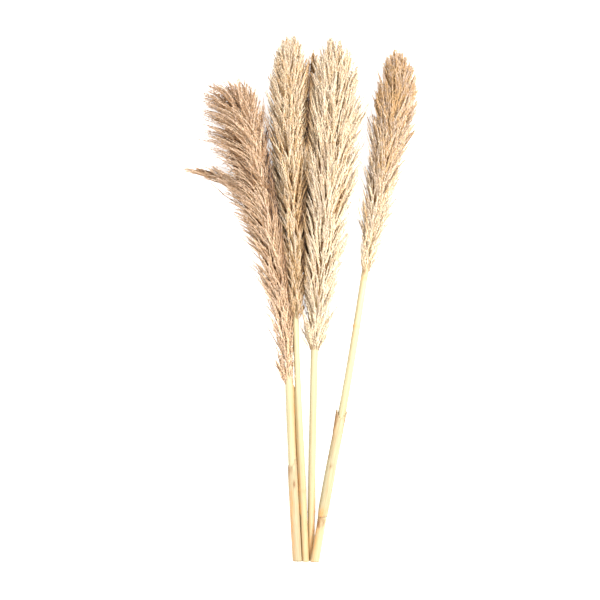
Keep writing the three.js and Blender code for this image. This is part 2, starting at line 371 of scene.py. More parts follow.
@dataclass(frozen=True)
class Parting:
    """A slit in the fluff of a plume, seen from above, with painted shade inside it.

    Attributes:
        foot: Its lower end x, y, in millimetres.
        head: Its upper end.
        half_width: Half its width, in millimetres.
        floor: The height where the strands begin to part, in millimetres; above the plume, none do.
        shade: Painted shade: how much darker the fluff inside it is, as if it lay deeper.
        rise: The height over which they come to part fully, in millimetres.
        gather: The share of its distance that a strand keeps as it moves out.
        soft: How far the shade reaches, in half widths.
    """

    foot: Pair
    head: Pair
    half_width: float
    floor: float = 12.0
    shade: float = 0.55
    rise: float = 6.0
    gather: float = 0.5
    soft: float = 1.5

    def offset(self, points: Array) -> Array:
        """Level vectors from the slit's line to points.

        Args:
            points: The points.

        Returns:
            One vector for each point, with no height.
        """
        start = np.array([*self.foot, 0.0]) * MM
        line = np.array([*self.head, 0.0]) * MM - start
        flat = (points - start) * np.array([1.0, 1.0, 0.0])
        share = np.clip(flat @ line / (line @ line), 0, 1)
        return flat - share[..., None] * line

    def open(self, points: Array) -> Array:
        """Points moved out of the slit: distances below its whole width end up in its outer half.

        Args:
            points: The points.

        Returns:
            The points, those above the floor of the slit moved level.
        """
        offset = self.offset(points)
        distance = np.linalg.norm(offset, axis=-1)
        raised = np.clip((points[..., 2] / MM - self.floor) / self.rise, 0, 1)
        push = raised * np.maximum(self.half_width * MM - self.gather * distance, 0)
        return points + push[..., None] * unit(offset)

    def painted_shade_factor(self, points: Array) -> Array:
        """Painted shade on points: 1 outside the slit, less inside it."""
        distance = np.linalg.norm(self.offset(points), axis=-1) / (self.half_width * MM)
        return 1 - self.shade * bell(distance / self.soft)


@dataclass(frozen=True)
class ShadeRidge:
    """A thin ridge along a culm, as an added radius, that fills the shaded gap to a neighbour; the painted
    shade at its turn colours it.

    Attributes:
        start: Its lower end's distance from the cut end, in millimetres.
        end: Its upper end's.
        turn: Its turn about the culm in degrees, with 0 at the right and 90 on top.
        reach: How far it stands out, in millimetres.
        width: Half its thickness, in degrees.
        fade: The length over which each end fades out, in millimetres.
    """

    start: float
    end: float
    turn: float
    reach: float
    width: float = 13.0
    fade: float = 8.0

    def on(self, distance: Array, turn: Array) -> Array:
        """How far the edge stands out, with both ends faded out.

        Args:
            distance: Distances from the cut end, in metres.
            turn: Turns about the culm, in radians.

        Returns:
            The added radius.
        """
        off_turn = turn_from(turn, math.radians(self.turn)) / math.radians(self.width)
        inside = np.minimum(distance / MM - self.start, self.end - distance / MM)
        return self.reach * MM * np.clip(inside / self.fade, 0, 1) * bell(off_turn)


@dataclass
class PlumeForm:
    """The outline of a plume about its route.

    The half width rises from the mouth as share ** rise up to the widest place and then closes as
    (1 - past ** 2) ** fall. Across the route it is an oval, flattened by the floor below and drawn in
    where a neighbour lies.

    Attributes:
        route: The line down the middle of the plume.
        half_width: Half of its greatest width.
        mouth: Half of its width where it leaves the culm.
        widest_at: The share of the length where it is widest.
        rise: Power of the rise.
        fall: Power of the close.
        strands: The number of strands.
        opening: The least and the greatest angle between a strand and the route.
        lean: How far strands in the upper part slant to the left, as a share of their length.
        tones: How pale its strands are at the foot and at the top.
        blushes: How rosy they are there.
        bare_foot: How much more of a strand is bare at the foot than further up.
        clear_foot: How much paler the inside is at the foot than further up: it lifts the depth mark, so less
            of the deep colour and painted shade shows.
        core: Size of the plume's heart against the usual one.
        rachis: Radius of the stem inside the plume.
        top_share: Height of the oval above the route as a share of the half width.
        stray_reach: How far its stray strands stick out, at least and at most.
        squeeze: How much of the way a side is drawn in to a fence that stands inside the half width.
        least_room: The least half width that a fence leaves, as a share.
    """

    route: Route
    half_width: float
    mouth: float
    widest_at: float
    rise: float
    fall: float
    strands: int
    opening: Pair = (0.27, 0.52)
    lean: float = 0.0
    tones: Pair = (0.74, 0.68)
    blushes: Pair = (0.2, 0.2)
    bare_foot: float = 0.2
    clear_foot: float = 0.0
    core: float = 1.0
    rachis: float = 2.7 * MM
    top_share: float = 0.82
    stray_reach: Pair = (3 * MM, 11 * MM)
    squeeze: float = 0.35
    least_room: float = 0.35

    def width_at(self, share: Array) -> Array:
        """Half width of the outline.

        Args:
            share: Shares of the length.

        Returns:
            The half widths.
        """
        risen = (np.maximum(share, 0) / self.widest_at) ** self.rise
        opening = self.mouth + (self.half_width - self.mouth) * risen
        past = np.clip((share - self.widest_at) / (1 - self.widest_at), 0, 1)
        closing = self.half_width * (1 - past**2) ** self.fall
        return np.where(share <= self.widest_at, opening, closing)

    def point(self, share: Array, aside: Array, above: Array) -> Array:
        """Points of the route, moved by aside to its right and by above towards its top."""
        side, under = across(self.route.along(share))
        return self.route.at(share) + aside[..., None] * side - above[..., None] * under

    def outline(self, share: Array, turn: Array, depth: Array, fences: list[Fence]) -> Array:
        """Points at a turn about the route, where depth 0 is on the route and 1 is on the outline.

        Args:
            share: Shares of the length.
            turn: Turns, with 0 to the right and a quarter turn at the top.
            depth: Shares of the way out to the outline.
            fences: The planes that draw the sides in.

        Returns:
            The points.
        """
        middle = self.route.at(share)
        width = self.width_at(share)
        sides = {}
        for hand in Side:
            reach = width.copy()
            for fence in fences:
                if fence.side is hand:
                    room = np.maximum(fence.room(middle), self.least_room * width)
                    reach += self.squeeze * (np.minimum(room, width) - width)
            sides[hand] = reach
        aside = np.cos(turn) * np.where(np.cos(turn) > 0, sides[Side.LEFT], sides[Side.RIGHT])
        above = np.sin(turn) * np.where(
            np.sin(turn) > 0, width * self.top_share, np.minimum(width * self.top_share, middle[..., 2])
        )
        return self.point(share, aside * depth, above * depth)


@dataclass(frozen=True)
class StainAndShade:
    """A soft oval stain on straw, or a patch of painted shade where a culm lies against or under a neighbour:
    strength * exp(-(distance part) ** 2 - (turn part) ** 2).

    Attributes:
        tint: The kind of stain, or the colour of the painted shade.
        at: Its distance from the cut end, in millimetres.
        turn: Its turn about the culm in degrees, with 0 at the right and 90 on top.
        length: Half its length, in millimetres.
        width: Half its width, in degrees.
        strength: Its strength in the middle.
    """

    tint: Tint
    at: float
    turn: float
    length: float
    width: float
    strength: float = 1.0

    def on(self, distance: Array, turn: Array) -> Array:
        """Strength of the stain or of the painted shade.

        Args:
            distance: Distances from the cut end, in metres.
            turn: Turns about the culm, in radians.

        Returns:
            The strengths.
        """
        off_turn = turn_from(turn, math.radians(self.turn)) / math.radians(self.width)
        off_way = (distance / MM - self.at) / self.length
        return self.strength * bell(off_way) * bell(off_turn)


@dataclass
class CulmForm:
    """The radii of a culm along its route.

    Attributes:
        route: The points from the cut end to just below the plume, in millimetres.
        foot_radius: Radius at the cut end.
        head_radius: Radius where the plume begins.
        nodes_at: Distances of the nodes from the cut end.
        stains_and_shade: Its stains, and its patches of painted shade where it lies against or under a
            neighbour.
        edges: The ridges along it that fill the shaded gap to a neighbour, coloured by painted shade.
        top_share: The radius at the end inside the plume as a share of the head's.
        ring_height: How far a node's ring stands out.
        ring_reach: How quickly the ring fades along the culm.
    """

    route: tuple[tuple[float, float, float], ...]
    foot_radius: float
    head_radius: float
    nodes_at: tuple[float, ...] = ()
    stains_and_shade: tuple[StainAndShade, ...] = ()
    edges: tuple[ShadeRidge, ...] = ()
    top_share: float = 0.55
    ring_height: float = 0.5 * MM
    ring_reach: float = 1.5 * MM


@dataclass
class SheathForm:
    """A dry leaf sheath round a culm.

    Attributes:
        start: Its foot's distance from the cut end.
        end: Its torn edge's mean distance from the cut end.
        extra_foot: How much thicker it is at the foot.
        tear_depth: Height of the torn edge's waves.
        tear_turn: Where the tear reaches furthest up, in radians.
        lip: How far it stands off the culm there.
        flap: Height of a narrow upright shred of the edge.
        flap_turn: Where the shred is, in radians.
        flap_lip: How far the shred stands off the culm.
        foot_taper: The length over which its foot thins out against the culm, or nothing for a cut end.
        stains_and_shade: Its stains, and its patches of painted shade where it lies against or under a
            neighbour.
        edges: The ridges along it that fill the shaded gap to a neighbour, coloured by painted shade.
        wall: Its thickness at the foot.
        edge_wall: Its thickness at the torn edge.
        gap: Its clearance round the culm.
        tear_zone: The length below the edge that the tear bends.
    """

    start: float
    end: float
    extra_foot: float
    tear_depth: float
    tear_turn: float
    lip: float
    flap: float = 0.0
    flap_turn: float = 0.0
    flap_lip: float = 2.2 * MM
    foot_taper: float = 0.0
    stains_and_shade: tuple[StainAndShade, ...] = ()
    edges: tuple[ShadeRidge, ...] = ()
    wall: float = 0.9 * MM
    edge_wall: float = 0.25 * MM
    gap: float = 0.4 * MM
    tear_zone: float = 24 * MM


@dataclass
class Stalk:
    """One stalk of the bundle: its culm, its sheath if it has one, and its plume.

    Attributes:
        name: Its number from the left.
        seed: The seed of its random draws.
        culm: Its culm's form.
        plumes: The forms that make up its plume.
        fences: The planes that keep it from its neighbours.
        plume_slot: The record's material slot for its plume.
        partings: The slits in its plume.
        sheath: Its sheath's form.
        socket: How far the culm runs on inside the plume.
        clearance: The gap past the culm's end.
        seam_shade: Painted shade: how much darker the plume's fluff is where it touches a neighbour.
        seam_reach: How quickly that fades.
    """

    name: str
    seed: int
    culm: CulmForm
    plumes: tuple[PlumeForm, ...]
    fences: list[Fence]
    plume_slot: str
    partings: tuple[Parting, ...] = ()
    sheath: SheathForm | None = None
    socket: float = 28 * MM
    clearance: float = 0.3 * MM
    seam_shade: float = 0.62
    seam_reach: float = 4.5 * MM

    def __post_init__(self) -> None:
        """Works out the culm's route, which runs on along the plume's."""
        plume = self.plumes[0].route
        inside = plume.at(np.array([self.socket / plume.length]))
        self.route = Route(np.vstack([np.array(self.culm.route) * MM, plume.points[:1], inside]))

    def radius_at(self, distance: Array) -> Array:
        """Radius of the culm, with a rounded ring at each node.

        Args:
            distance: Distances from the cut end.

        Returns:
            The radii.
        """
        culm = self.culm
        bare = self.route.length - self.socket
        plain = culm.foot_radius + (culm.head_radius - culm.foot_radius) * np.clip(distance / bare, 0, 1)
        taper = 1 + (culm.top_share - 1) * np.clip((distance - bare) / self.socket, 0, 1)
        rings = [bell((distance - at * MM) / culm.ring_reach) for at in culm.nodes_at]
        return plain * taper + culm.ring_height * sum(rings, np.zeros_like(distance))

    def bend(self, distance: Array, aside: Array, above: Array) -> Array:
        """Places cross-sections along the culm's route, each in a plane square to Y like the cut end.

        Args:
            distance: Distances from the cut end.
            aside: Offsets along X, stretched as the route slants.
            above: Offsets along Z.

        Returns:
            The points.
        """
        share = distance / self.route.length
        middle = self.route.at(share)
        slant = self.route.along(share)[..., 1]
        return middle + np.stack([aside / slant, np.zeros_like(aside), above], axis=-1)

    def painted_shade_factor(self, points: Array) -> Array:
        """Painted shade on points: 1 in the open, less in a parting and close to a plume that touches.

        Args:
            points: The points.

        Returns:
            The factors for their depth.
        """
        rooms = [np.abs(fence.room(points)) for fence in self.fences if fence.touching]
        seams = [1 - self.seam_shade * np.exp(-room / self.seam_reach) for room in rooms]
        slits = [parting.painted_shade_factor(points) for parting in self.partings]
        return np.prod([np.ones(points.shape[:-1]), *seams, *slits], axis=0)

    def hold(self, points: Array, margin: Array | float, floor: float) -> Array:
        """Points moved to the stalk's own side of each fence and up to the floor's level.

        Args:
            points: The points.
            margin: The room that they keep to each fence, less than nothing where they may cross it.
            floor: Their least height.

        Returns:
            The points in their places.
        """
        for fence in self.fences:
            points = fence.push(points, margin)
        lifted = np.maximum(points[..., 2], floor)
        return np.concatenate([points[..., :2], lifted[..., None]], axis=-1)

    def settle(self, points: Array, margin: Array | float, floor: float) -> Array:
        """Points moved out of partings and then held in place.

        Args:
            points: The points.
            margin: The room that they keep to each fence.
            floor: Their least height.

        Returns:
            The points in their places.
        """
        for parting in self.partings:
            points = parting.open(points)
        return self.hold(points, margin, floor)


def straw_marks(
    stains_and_shade: tuple[StainAndShade, ...], distance: Array, turn: Array, radius: Array
) -> dict[str, Array]:
    """The marks that a straw finish reads.

    Args:
        stains_and_shade: The stains and the patches of painted shade of the piece.
        distance: Distance of each vertex from the cut end.
        turn: Turn of each vertex about the route.
        radius: Distance of each vertex from the route.

    Returns:
        The grain, which is the vertex's place in a straightened culm, and the strength of each tint.
    """
    straight = np.stack([np.cos(turn) * radius, np.sin(turn) * radius, distance], axis=-1)
    marks = {"grain": straight.reshape(-1, 3)}
    for tint in Tint:
        total = sum((s.on(distance, turn) for s in stains_and_shade if s.tint is tint), np.zeros_like(distance))
        marks[tint.value] = np.clip(total, 0, 1).ravel()
    return marks


class Shader:
    """A material's node tree, built up call by call."""

    def __init__(self, name: str) -> None:
        """Makes an empty material with a Principled shader.

        Args:
            name: The material's name.
        """
        self.material = bpy.data.materials.new(name)
        self.material.use_nodes = True
        self.tree = self.material.node_tree
        self.surface = self.tree.nodes["Principled BSDF"]

    def node(
        self, kind: str, inputs: dict[str | int, Input] | None = None, **settings: str
    ) -> bpy.types.Node:
        """Adds a node.

        Args:
            kind: The node's type.
            inputs: Values or sockets for its inputs, by name or number.
            settings: Properties of the node.

        Returns:
            The node.
        """
        made = self.tree.nodes.new(kind)
        for key, value in settings.items():
            setattr(made, key, value)
        for key, value in (inputs or {}).items():
            self._feed(made.inputs[key], value)
        return made

    def mark(self, name: str, output: str = "Fac") -> Socket:
        """The values of a mark."""
        return self.node("ShaderNodeAttribute", attribute_name=name).outputs[output]

    def noise(self, vector: Socket, scale: float, detail: float, roughness: float = 0.55) -> Socket:
        """The grey output of a noise texture."""
        inputs = {"Vector": vector, "Scale": scale, "Detail": detail, "Roughness": roughness}
        return self.node("ShaderNodeTexNoise", inputs).outputs[0]

    def grain(
        self, vector: Socket, scale: tuple[float, float, float], detail: float, roughness: float = 0.55
    ) -> Socket:
        """The grey output of a noise texture with a scale of its own along each axis."""
        stretched = self.node("ShaderNodeMapping", {"Vector": vector, "Scale": scale}).outputs[0]
        return self.noise(stretched, scale=1.0, detail=detail, roughness=roughness)

    def between(
        self, value: Socket, low: float, high: float, to_low: float = 0.0, to_high: float = 1.0
    ) -> Socket:
        """A value brought from one range into another and held inside it."""
        inputs = {"Value": value, "From Min": low, "From Max": high, "To Min": to_low, "To Max": to_high}
        return self.node("ShaderNodeMapRange", inputs).outputs[0]

    def times(self, first: Input, second: Input) -> Socket:
        """The product of two values."""
        return self.node("ShaderNodeMath", {0: first, 1: second}, operation="MULTIPLY").outputs[0]

    def mix(self, factor: Input, first: Input, second: Input, blend: str = "MIX") -> Socket:
        """One colour blended over another by a factor."""
        inputs = {0: factor, 6: self._colour(first), 7: self._colour(second)}
        return self.node("ShaderNodeMix", inputs, data_type="RGBA", blend_type=blend).outputs[2]

    def bump(self, height: Socket, strength: float, distance: float) -> Socket:
        """A bump from a height."""
        inputs = {"Height": height, "Strength": strength, "Distance": distance}
        return self.node("ShaderNodeBump", inputs).outputs[0]

    def finish(self, colour: Input, **sockets: Input) -> bpy.types.Material:
        """Gives the surface its colour and its other inputs.

        Args:
            colour: The base colour's socket or value.
            sockets: Inputs by name, with underscores for spaces.

        Returns:
            The material.
        """
        for name, value in {"Base Color": self._colour(colour), **sockets}.items():
            self._feed(self.surface.inputs[name.replace("_", " ")], value)
        return self.material

    def _feed(self, socket: Socket, value: Input) -> None:
        """Links an input to a socket, or else sets it to a value.

        Args:
            socket: The input.
            value: The socket or value that it gets.
        """
        if isinstance(value, bpy.types.NodeSocket):
            self.tree.links.new(value, socket)
        else:
            socket.default_value = value

    @staticmethod
    def _colour(value: Input) -> Input | tuple[float, float, float, float]:
        """A plain colour with its alpha, or a socket as it is."""
        return (*value, 1.0) if isinstance(value, tuple) and len(value) == 3 else value


@dataclass(frozen=True)
class PlumeFinish:
    """Dry fluff: golden brown deep inside, partly its own colour and partly painted shade, pale outside, rosy
    towards the tips.

    Attributes:
        name: The material's name.
        pale: Colour of the outer spikelets.
        warm: Colour that the paler ones are mottled with.
        gold: Colour of the spikelets' bases and of the twigs, and of the fluff partway in, where it is partly
            painted shade.
        deep: Colour of what lies deep inside: its own dark brown together with painted shade.
        rosy: Colour of the tips.
        straw: Colour of the stem inside.
        mottled: How strongly the outer spikelets are mottled.
    """

    name: str
    pale: Colour
    warm: Colour
    gold: Colour
    deep: Colour
    rosy: Colour
    straw: Colour = (0.66, 0.53, 0.25)
    mottled: float = 0.6

    def material(self) -> bpy.types.Material:
        """Mixes the colours by the marks depth, tone, blush and straw, and breaks them up with noise.

        Returns:
            The material.
        """
        shader = Shader(self.name)
        vector = shader.node("ShaderNodeTexCoord").outputs["Object"]
        patches = shader.between(shader.noise(vector, scale=42.0, detail=4.0), low=0.38, high=0.66)
        outside = shader.mix(shader.times(patches, self.mottled), self.pale, self.warm)
        blushing = shader.mix(shader.mark("blush"), outside, self.rosy)
        tone = shader.between(shader.mark("tone"), low=0.1, high=0.6)
        fluff = shader.mix(tone, self.gold, blushing)
        # The depth mark paints shade as well as colour: deep inside, near a touching neighbour and in
        # partings the fluff turns gold, then dark brown.
        depth = shader.mark("depth")
        deep_and_shaded = shader.mix(shader.between(depth, low=0.22, high=0.5), self.deep, self.gold)
        body = shader.mix(shader.between(depth, low=0.4, high=0.8), deep_and_shaded, fluff)
        stemmed = shader.mix(shader.mark("straw"), body, self.straw)
        specks = shader.noise(vector, scale=900.0, detail=2.0)
        fine = shader.between(specks, low=0.3, high=0.7, to_low=0.88)
        shade = shader.node("ShaderNodeCombineColor", {index: fine for index in range(3)})
        colour = shader.mix(1.0, stemmed, shade.outputs[0], blend="MULTIPLY")
        sheen = {"Sheen_Weight": 0.15, "Sheen_Roughness": 0.5}
        return shader.finish(colour, Roughness=0.85, Specular_IOR_Level=0.25, **sheen)

@dataclass(frozen=True)
class StrawFinish:
    """Smooth dry straw with fine grain along it, and brown and rust stains and patches of painted shade,
    broken up by noise.

    Attributes:
        name: The material's name.
        pale: The straw's colour.
        warm: The colour of its broad streaks.
        brown: The colour of the brown stains and of brown painted shade.
        rust: The colour of the rust stains and of rust-coloured painted shade.
        roughness: Its least and its greatest roughness.
        grain: How strongly the grain shows.
        streaked: How strongly the streaks show.
        flecked: How strongly the rust flecks show.
    """

    name: str
    pale: Colour
    warm: Colour
    brown: Colour = (0.20, 0.085, 0.022)
    rust: Colour = (0.60, 0.26, 0.06)
    roughness: Pair = (0.42, 0.62)
    grain: float = 0.35
    streaked: float = 0.75
    flecked: float = 0.3

    def material(self) -> bpy.types.Material:
        """Streaks and fibres stretched along the grain, stains and painted shade, and a bump from the fibres.

        Returns:
            The material.
        """
        shader = Shader(self.name)
        along = shader.mark("grain", output="Vector")
        streaks = shader.between(shader.grain(along, (520, 520, 14), detail=4.0), low=0.4, high=0.7)
        fibres = shader.grain(along, (2600, 2600, 45), detail=3.0)
        flecks = shader.between(shader.grain(along, (900, 900, 190), detail=2.0), low=0.66, high=0.76)
        colour = shader.mix(shader.times(streaks, self.streaked), self.pale, self.warm)
        colour = shader.mix(shader.times(flecks, self.flecked), colour, self.rust)
        torn = shader.grain(along, (420, 420, 90), detail=5.0, roughness=0.7)
        ragged = shader.between(torn, low=0.3, high=0.6)
        # Both tints paint real stains and, where a culm lies against or under a neighbour, painted shade.
        for tint, stain_and_shade_colour in ((Tint.RUST, self.rust), (Tint.BROWN, self.brown)):
            strength = shader.times(shader.mark(tint.value), ragged)
            colour = shader.mix(strength, colour, stain_and_shade_colour)
        dark_fibres = shader.between(fibres, low=0.3, high=0.7, to_high=self.grain)
        shade = shader.mix(dark_fibres, colour, self.warm, blend="MULTIPLY")
        least, most = self.roughness
        roughness = shader.between(fibres, low=0.3, high=0.7, to_low=least, to_high=most)
        bump = shader.bump(fibres, strength=0.35, distance=0.3 * MM)
        return shader.finish(shade, Roughness=roughness, Normal=bump)

@dataclass(frozen=True)
class FloorFinish:
    """A plain pale floor that glows a little, as on a light table, so that shadows stay faint."""

    name: str = "pale_floor"
    colour: Colour = (0.8, 0.8, 0.8)
    glow: float = 0.72

    def material(self) -> bpy.types.Material:
        """One pale colour with a little light of its own."""
        light = {"Emission_Color": (1.0, 1.0, 1.0, 1.0), "Emission_Strength": self.glow}
        return Shader(self.name).finish(self.colour, Roughness=0.9, **light)


def place(piece: bpy.types.Object, node: str, material: bpy.types.Material) -> bpy.types.Object:
    """Gives a piece its material and puts it in the place of a CAD node.

    Args:
        piece: The piece, already where it belongs.
        node: The CAD node that it stands for.
        material: The material.

    Returns:
        The piece.
    """
    piece.data.materials.append(material)
    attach(piece, ROOT_BODY)
    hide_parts(node)
    return piece


@dataclass
class Culm:
    """The stem of a stalk as one closed surface, from the pith of its cut end to its tip in the plume.

    Attributes:
        stalk: The stalk.
        sides: Vertices round it.
        step: Length of a face along it.
        rim: Distance of its first full ring from the cut end.
        cut_profile: The cut face from its middle outwards, as shares of the radius and of it inwards.
        ridge: Height of the low ridges along it.
        ridges: How many of them there are.
        sway: How far the ridges sway round the culm, as a phase.
        sway_length: The length along the culm for each radian of that sway.
    """

    stalk: Stalk
    sides: int = 40
    step: float = 2.5 * MM
    rim: float = 0.12 * MM
    cut_profile: tuple[Pair, ...] = (
        (0.3, 0.16), (0.62, 0.12), (0.84, 0.04), (0.95, 0.0), (0.99, 0.02)
    )
    ridge: float = 0.04 * MM
    ridges: int = 9
    sway: float = 5.0
    sway_length: float = 0.09

    def build(self, finish: StrawFinish) -> bpy.types.Object:
        """Makes the culm: point = route + radius * (cos(turn), sin(turn)), with low wandering ridges.

        Args:
            finish: Its finish.

        Returns:
            The finished piece.
        """
        stalk, form = self.stalk, self.stalk.culm
        end = stalk.route.length - stalk.clearance
        along = np.linspace(self.rim, end, round(end / self.step))
        cut_shares, cut_depths = np.array(self.cut_profile).T
        rings = np.concatenate([cut_depths * form.foot_radius, along])
        share = np.concatenate([cut_shares, np.ones(len(along))])
        distance, turn = np.meshgrid(rings, even_turns(self.sides), indexing="ij")
        phase = self.sway * np.sin(distance / self.sway_length + stalk.seed)
        raised = self.ridge * np.cos(self.ridges * turn + phase)
        # The ridges that fill the shaded gap to a neighbour, coloured by painted shade.
        raised = raised + sum(leaf.on(distance, turn) for leaf in form.edges)
        radius = share[:, None] * (stalk.radius_at(distance) + raised)
        body = stalk.bend(distance, radius * np.cos(turn), radius * np.sin(turn)).reshape(-1, 3)
        ends, middle = np.array([rings[0], end]), np.zeros(2)
        marks = straw_marks(
            form.stains_and_shade, np.append(distance, ends), np.append(turn, middle), np.append(radius, middle)
        )
        points = np.concatenate([body, stalk.bend(ends, middle, middle)])
        shape = Shape(points, flipped(closed_faces(len(rings), self.sides)), marks)
        piece = shape.to_object(f"culm_{stalk.name}_straw")
        return place(piece, f"culm_{stalk.name}", finish.material())


@dataclass
class Sheath:
    """A thin dry sheath wrapped round a culm, with a ragged torn edge.

    Attributes:
        stalk: The stalk.
        sides: Vertices round it.
        rings: Rings from its foot to its edge, on each face.
        rib: Height of the leaf's ribs.
        ribs: How many ribs there are.
        sway: How far the ribs sway round the sheath, as a phase.
        sway_length: The length along the sheath for each radian of that sway.
        waves: Pairs of wide waves round the edge and their shares of the tear's depth.
        frays: Pairs of small waves round the edge and their heights.
        shred_width: Half the width of the upright shred, in radians.
        thin_foot: Share of the wall that is left at a foot that thins out.
    """

    stalk: Stalk
    sides: int = 72
    rings: int = 46
    rib: float = 0.06 * MM
    ribs: int = 16
    sway: float = 2.0
    sway_length: float = 0.05
    waves: tuple[tuple[int, float], ...] = ((1, 0.6), (3, 0.4))
    frays: tuple[tuple[int, float], ...] = ((9, 0.9 * MM), (17, 0.7 * MM), (31, 0.5 * MM))
    shred_width: float = 0.2
    thin_foot: float = 0.1

    def shred(self, turn: Array) -> Array:
        """A narrow bell round the turn of the upright shred, 1 in its middle."""
        form = self.stalk.sheath
        return bell(turn_from(turn, form.flap_turn) / self.shred_width) * (form.flap > 0)

    def tear(self, turn: Array) -> Array:
        """Height of the torn edge: its wide waves, the frays and the shred, added up.

        Args:
            turn: Turns about the culm.

        Returns:
            The heights above the edge's mean.
        """
        form = self.stalk.sheath
        waves = sum(share * np.cos(count * (turn - form.tear_turn)) for count, share in self.waves)
        frays = sum(high * np.sin(count * (turn + self.stalk.seed)) for count, high in self.frays)
        return form.tear_depth * waves + frays + form.flap * self.shred(turn)

    def build(self, finish: StrawFinish) -> bpy.types.Object:
        """Makes the sheath: one closed strip up its outside and down its inside, bent round the culm.

        Args:
            finish: Its finish.

        Returns:
            The finished piece.
        """
        stalk, form = self.stalk, self.stalk.sheath
        rise = np.linspace(0, 1, self.rings)
        share = np.concatenate([rise, rise[::-1]])[:, None]
        outside = np.concatenate([np.ones(self.rings), np.zeros(self.rings)])[:, None]
        turn = even_turns(self.sides)[None, :]
        plain = form.start + share * (form.end - form.start)
        edge = np.clip((plain - form.end + form.tear_zone) / form.tear_zone, 0, 1)
        wall = form.wall + (form.edge_wall - form.wall) * edge**2 + form.extra_foot * (1 - share)
        if form.foot_taper:
            wall = wall * np.clip(self.thin_foot + (plain - form.start) / form.foot_taper, 0, 1)
        stand_off = form.lip * edge * np.maximum(0, np.cos(turn - form.tear_turn)) ** 4
        stand_off = stand_off + form.flap_lip * edge**3 * self.shred(turn)
        ribbed = self.rib * np.cos(self.ribs * turn + self.sway * np.sin(plain / self.sway_length))
        # The ridges that fill the shaded gap to a neighbour, coloured by painted shade.
        ribbed = ribbed + sum(leaf.on(plain, turn) for leaf in form.edges)
        radius = stalk.radius_at(plain) + form.gap + stand_off + outside * (wall + ribbed)
        distance = plain + edge * self.tear(turn)
        points = stalk.bend(distance, radius * np.cos(turn), radius * np.sin(turn))
        marks = straw_marks(form.stains_and_shade, distance, turn + 0 * distance, radius)
        faces = flipped([grid_faces(2 * self.rings, self.sides, looped=True)])
        piece = Shape(points.reshape(-1, 3), faces, marks).to_object(f"leaf_sheath_{stalk.name}_blade")
        return place(piece, f"leaf_sheath_{stalk.name}", finish.material())


@dataclass(frozen=True)
class TwigStyle:
    """The bare twig of a strand.

    Attributes:
        rings, sides: Its rings, and the vertices in each.
        end: Where it ends, as a share of the strand.
        half, taper: Half its width at the root, and how much of that it loses along the strand.
        marked_at, tone: The share of the strand that its marks are taken at, and how pale it is.
    """

    rings: int = 3
    sides: int = 3
    end: float = 0.97
    half: float = 0.4 * MM
    taper: float = 0.7
    marked_at: float = 0.6
    tone: float = 0.4


@dataclass(frozen=True)
class SpikeletStyle:
    """How spikelets sit on a strand. A name in the plural holds the least and the greatest share of one.

    Attributes:
        spacing, fewest: The distance between spikelets along a strand, and their least number.
        first: Place of the first one, in spacings from the bare root.
        length, half: Its length and half of its width.
        belly, fold: Place of its broadest part as a share of its length, and the turn of its corners there.
        splay, closed_tip: Its angle to the strand, and how much less that is at the strand's tip.
        tip_taper, root_taper: How much smaller it is at the strand's tip and at its root.
        turn_spread, roll_spread: Spread of its turns about the strand and about its own keel.
        tone_spread, base_tone: Spread of how pale it is, and how pale its base is against the rest.
        floor: Its least height.
    """

    spacing: float = 2.0 * MM
    fewest: int = 4
    first: float = 0.3
    length: float = 6.6 * MM
    lengths: Pair = (0.8, 1.2)
    half: float = 0.85 * MM
    halves: Pair = (0.75, 1.2)
    belly: float = 0.42
    fold: float = 1.15
    splay: float = 0.22
    splays: Pair = (0.6, 1.4)
    closed_tip: float = 0.4
    tip_taper: float = 0.45
    root_taper: float = 0.5
    turn_spread: float = 0.6
    roll_spread: float = 0.5
    tone_spread: float = 0.12
    base_tone: float = 0.35
    floor: float = 0.2 * MM


@dataclass(frozen=True)
class HairStyle:
    """How many hairs stand on a strand, where along it, at which angles, how long and how thick."""

    number: int = 6
    places: Pair = (0.25, 1.0)
    splays: Pair = (0.2, 0.75)
    length: float = 8 * MM
    lengths: Pair = (0.6, 1.3)
    half: float = 0.09 * MM
    floor: float = 0.1 * MM


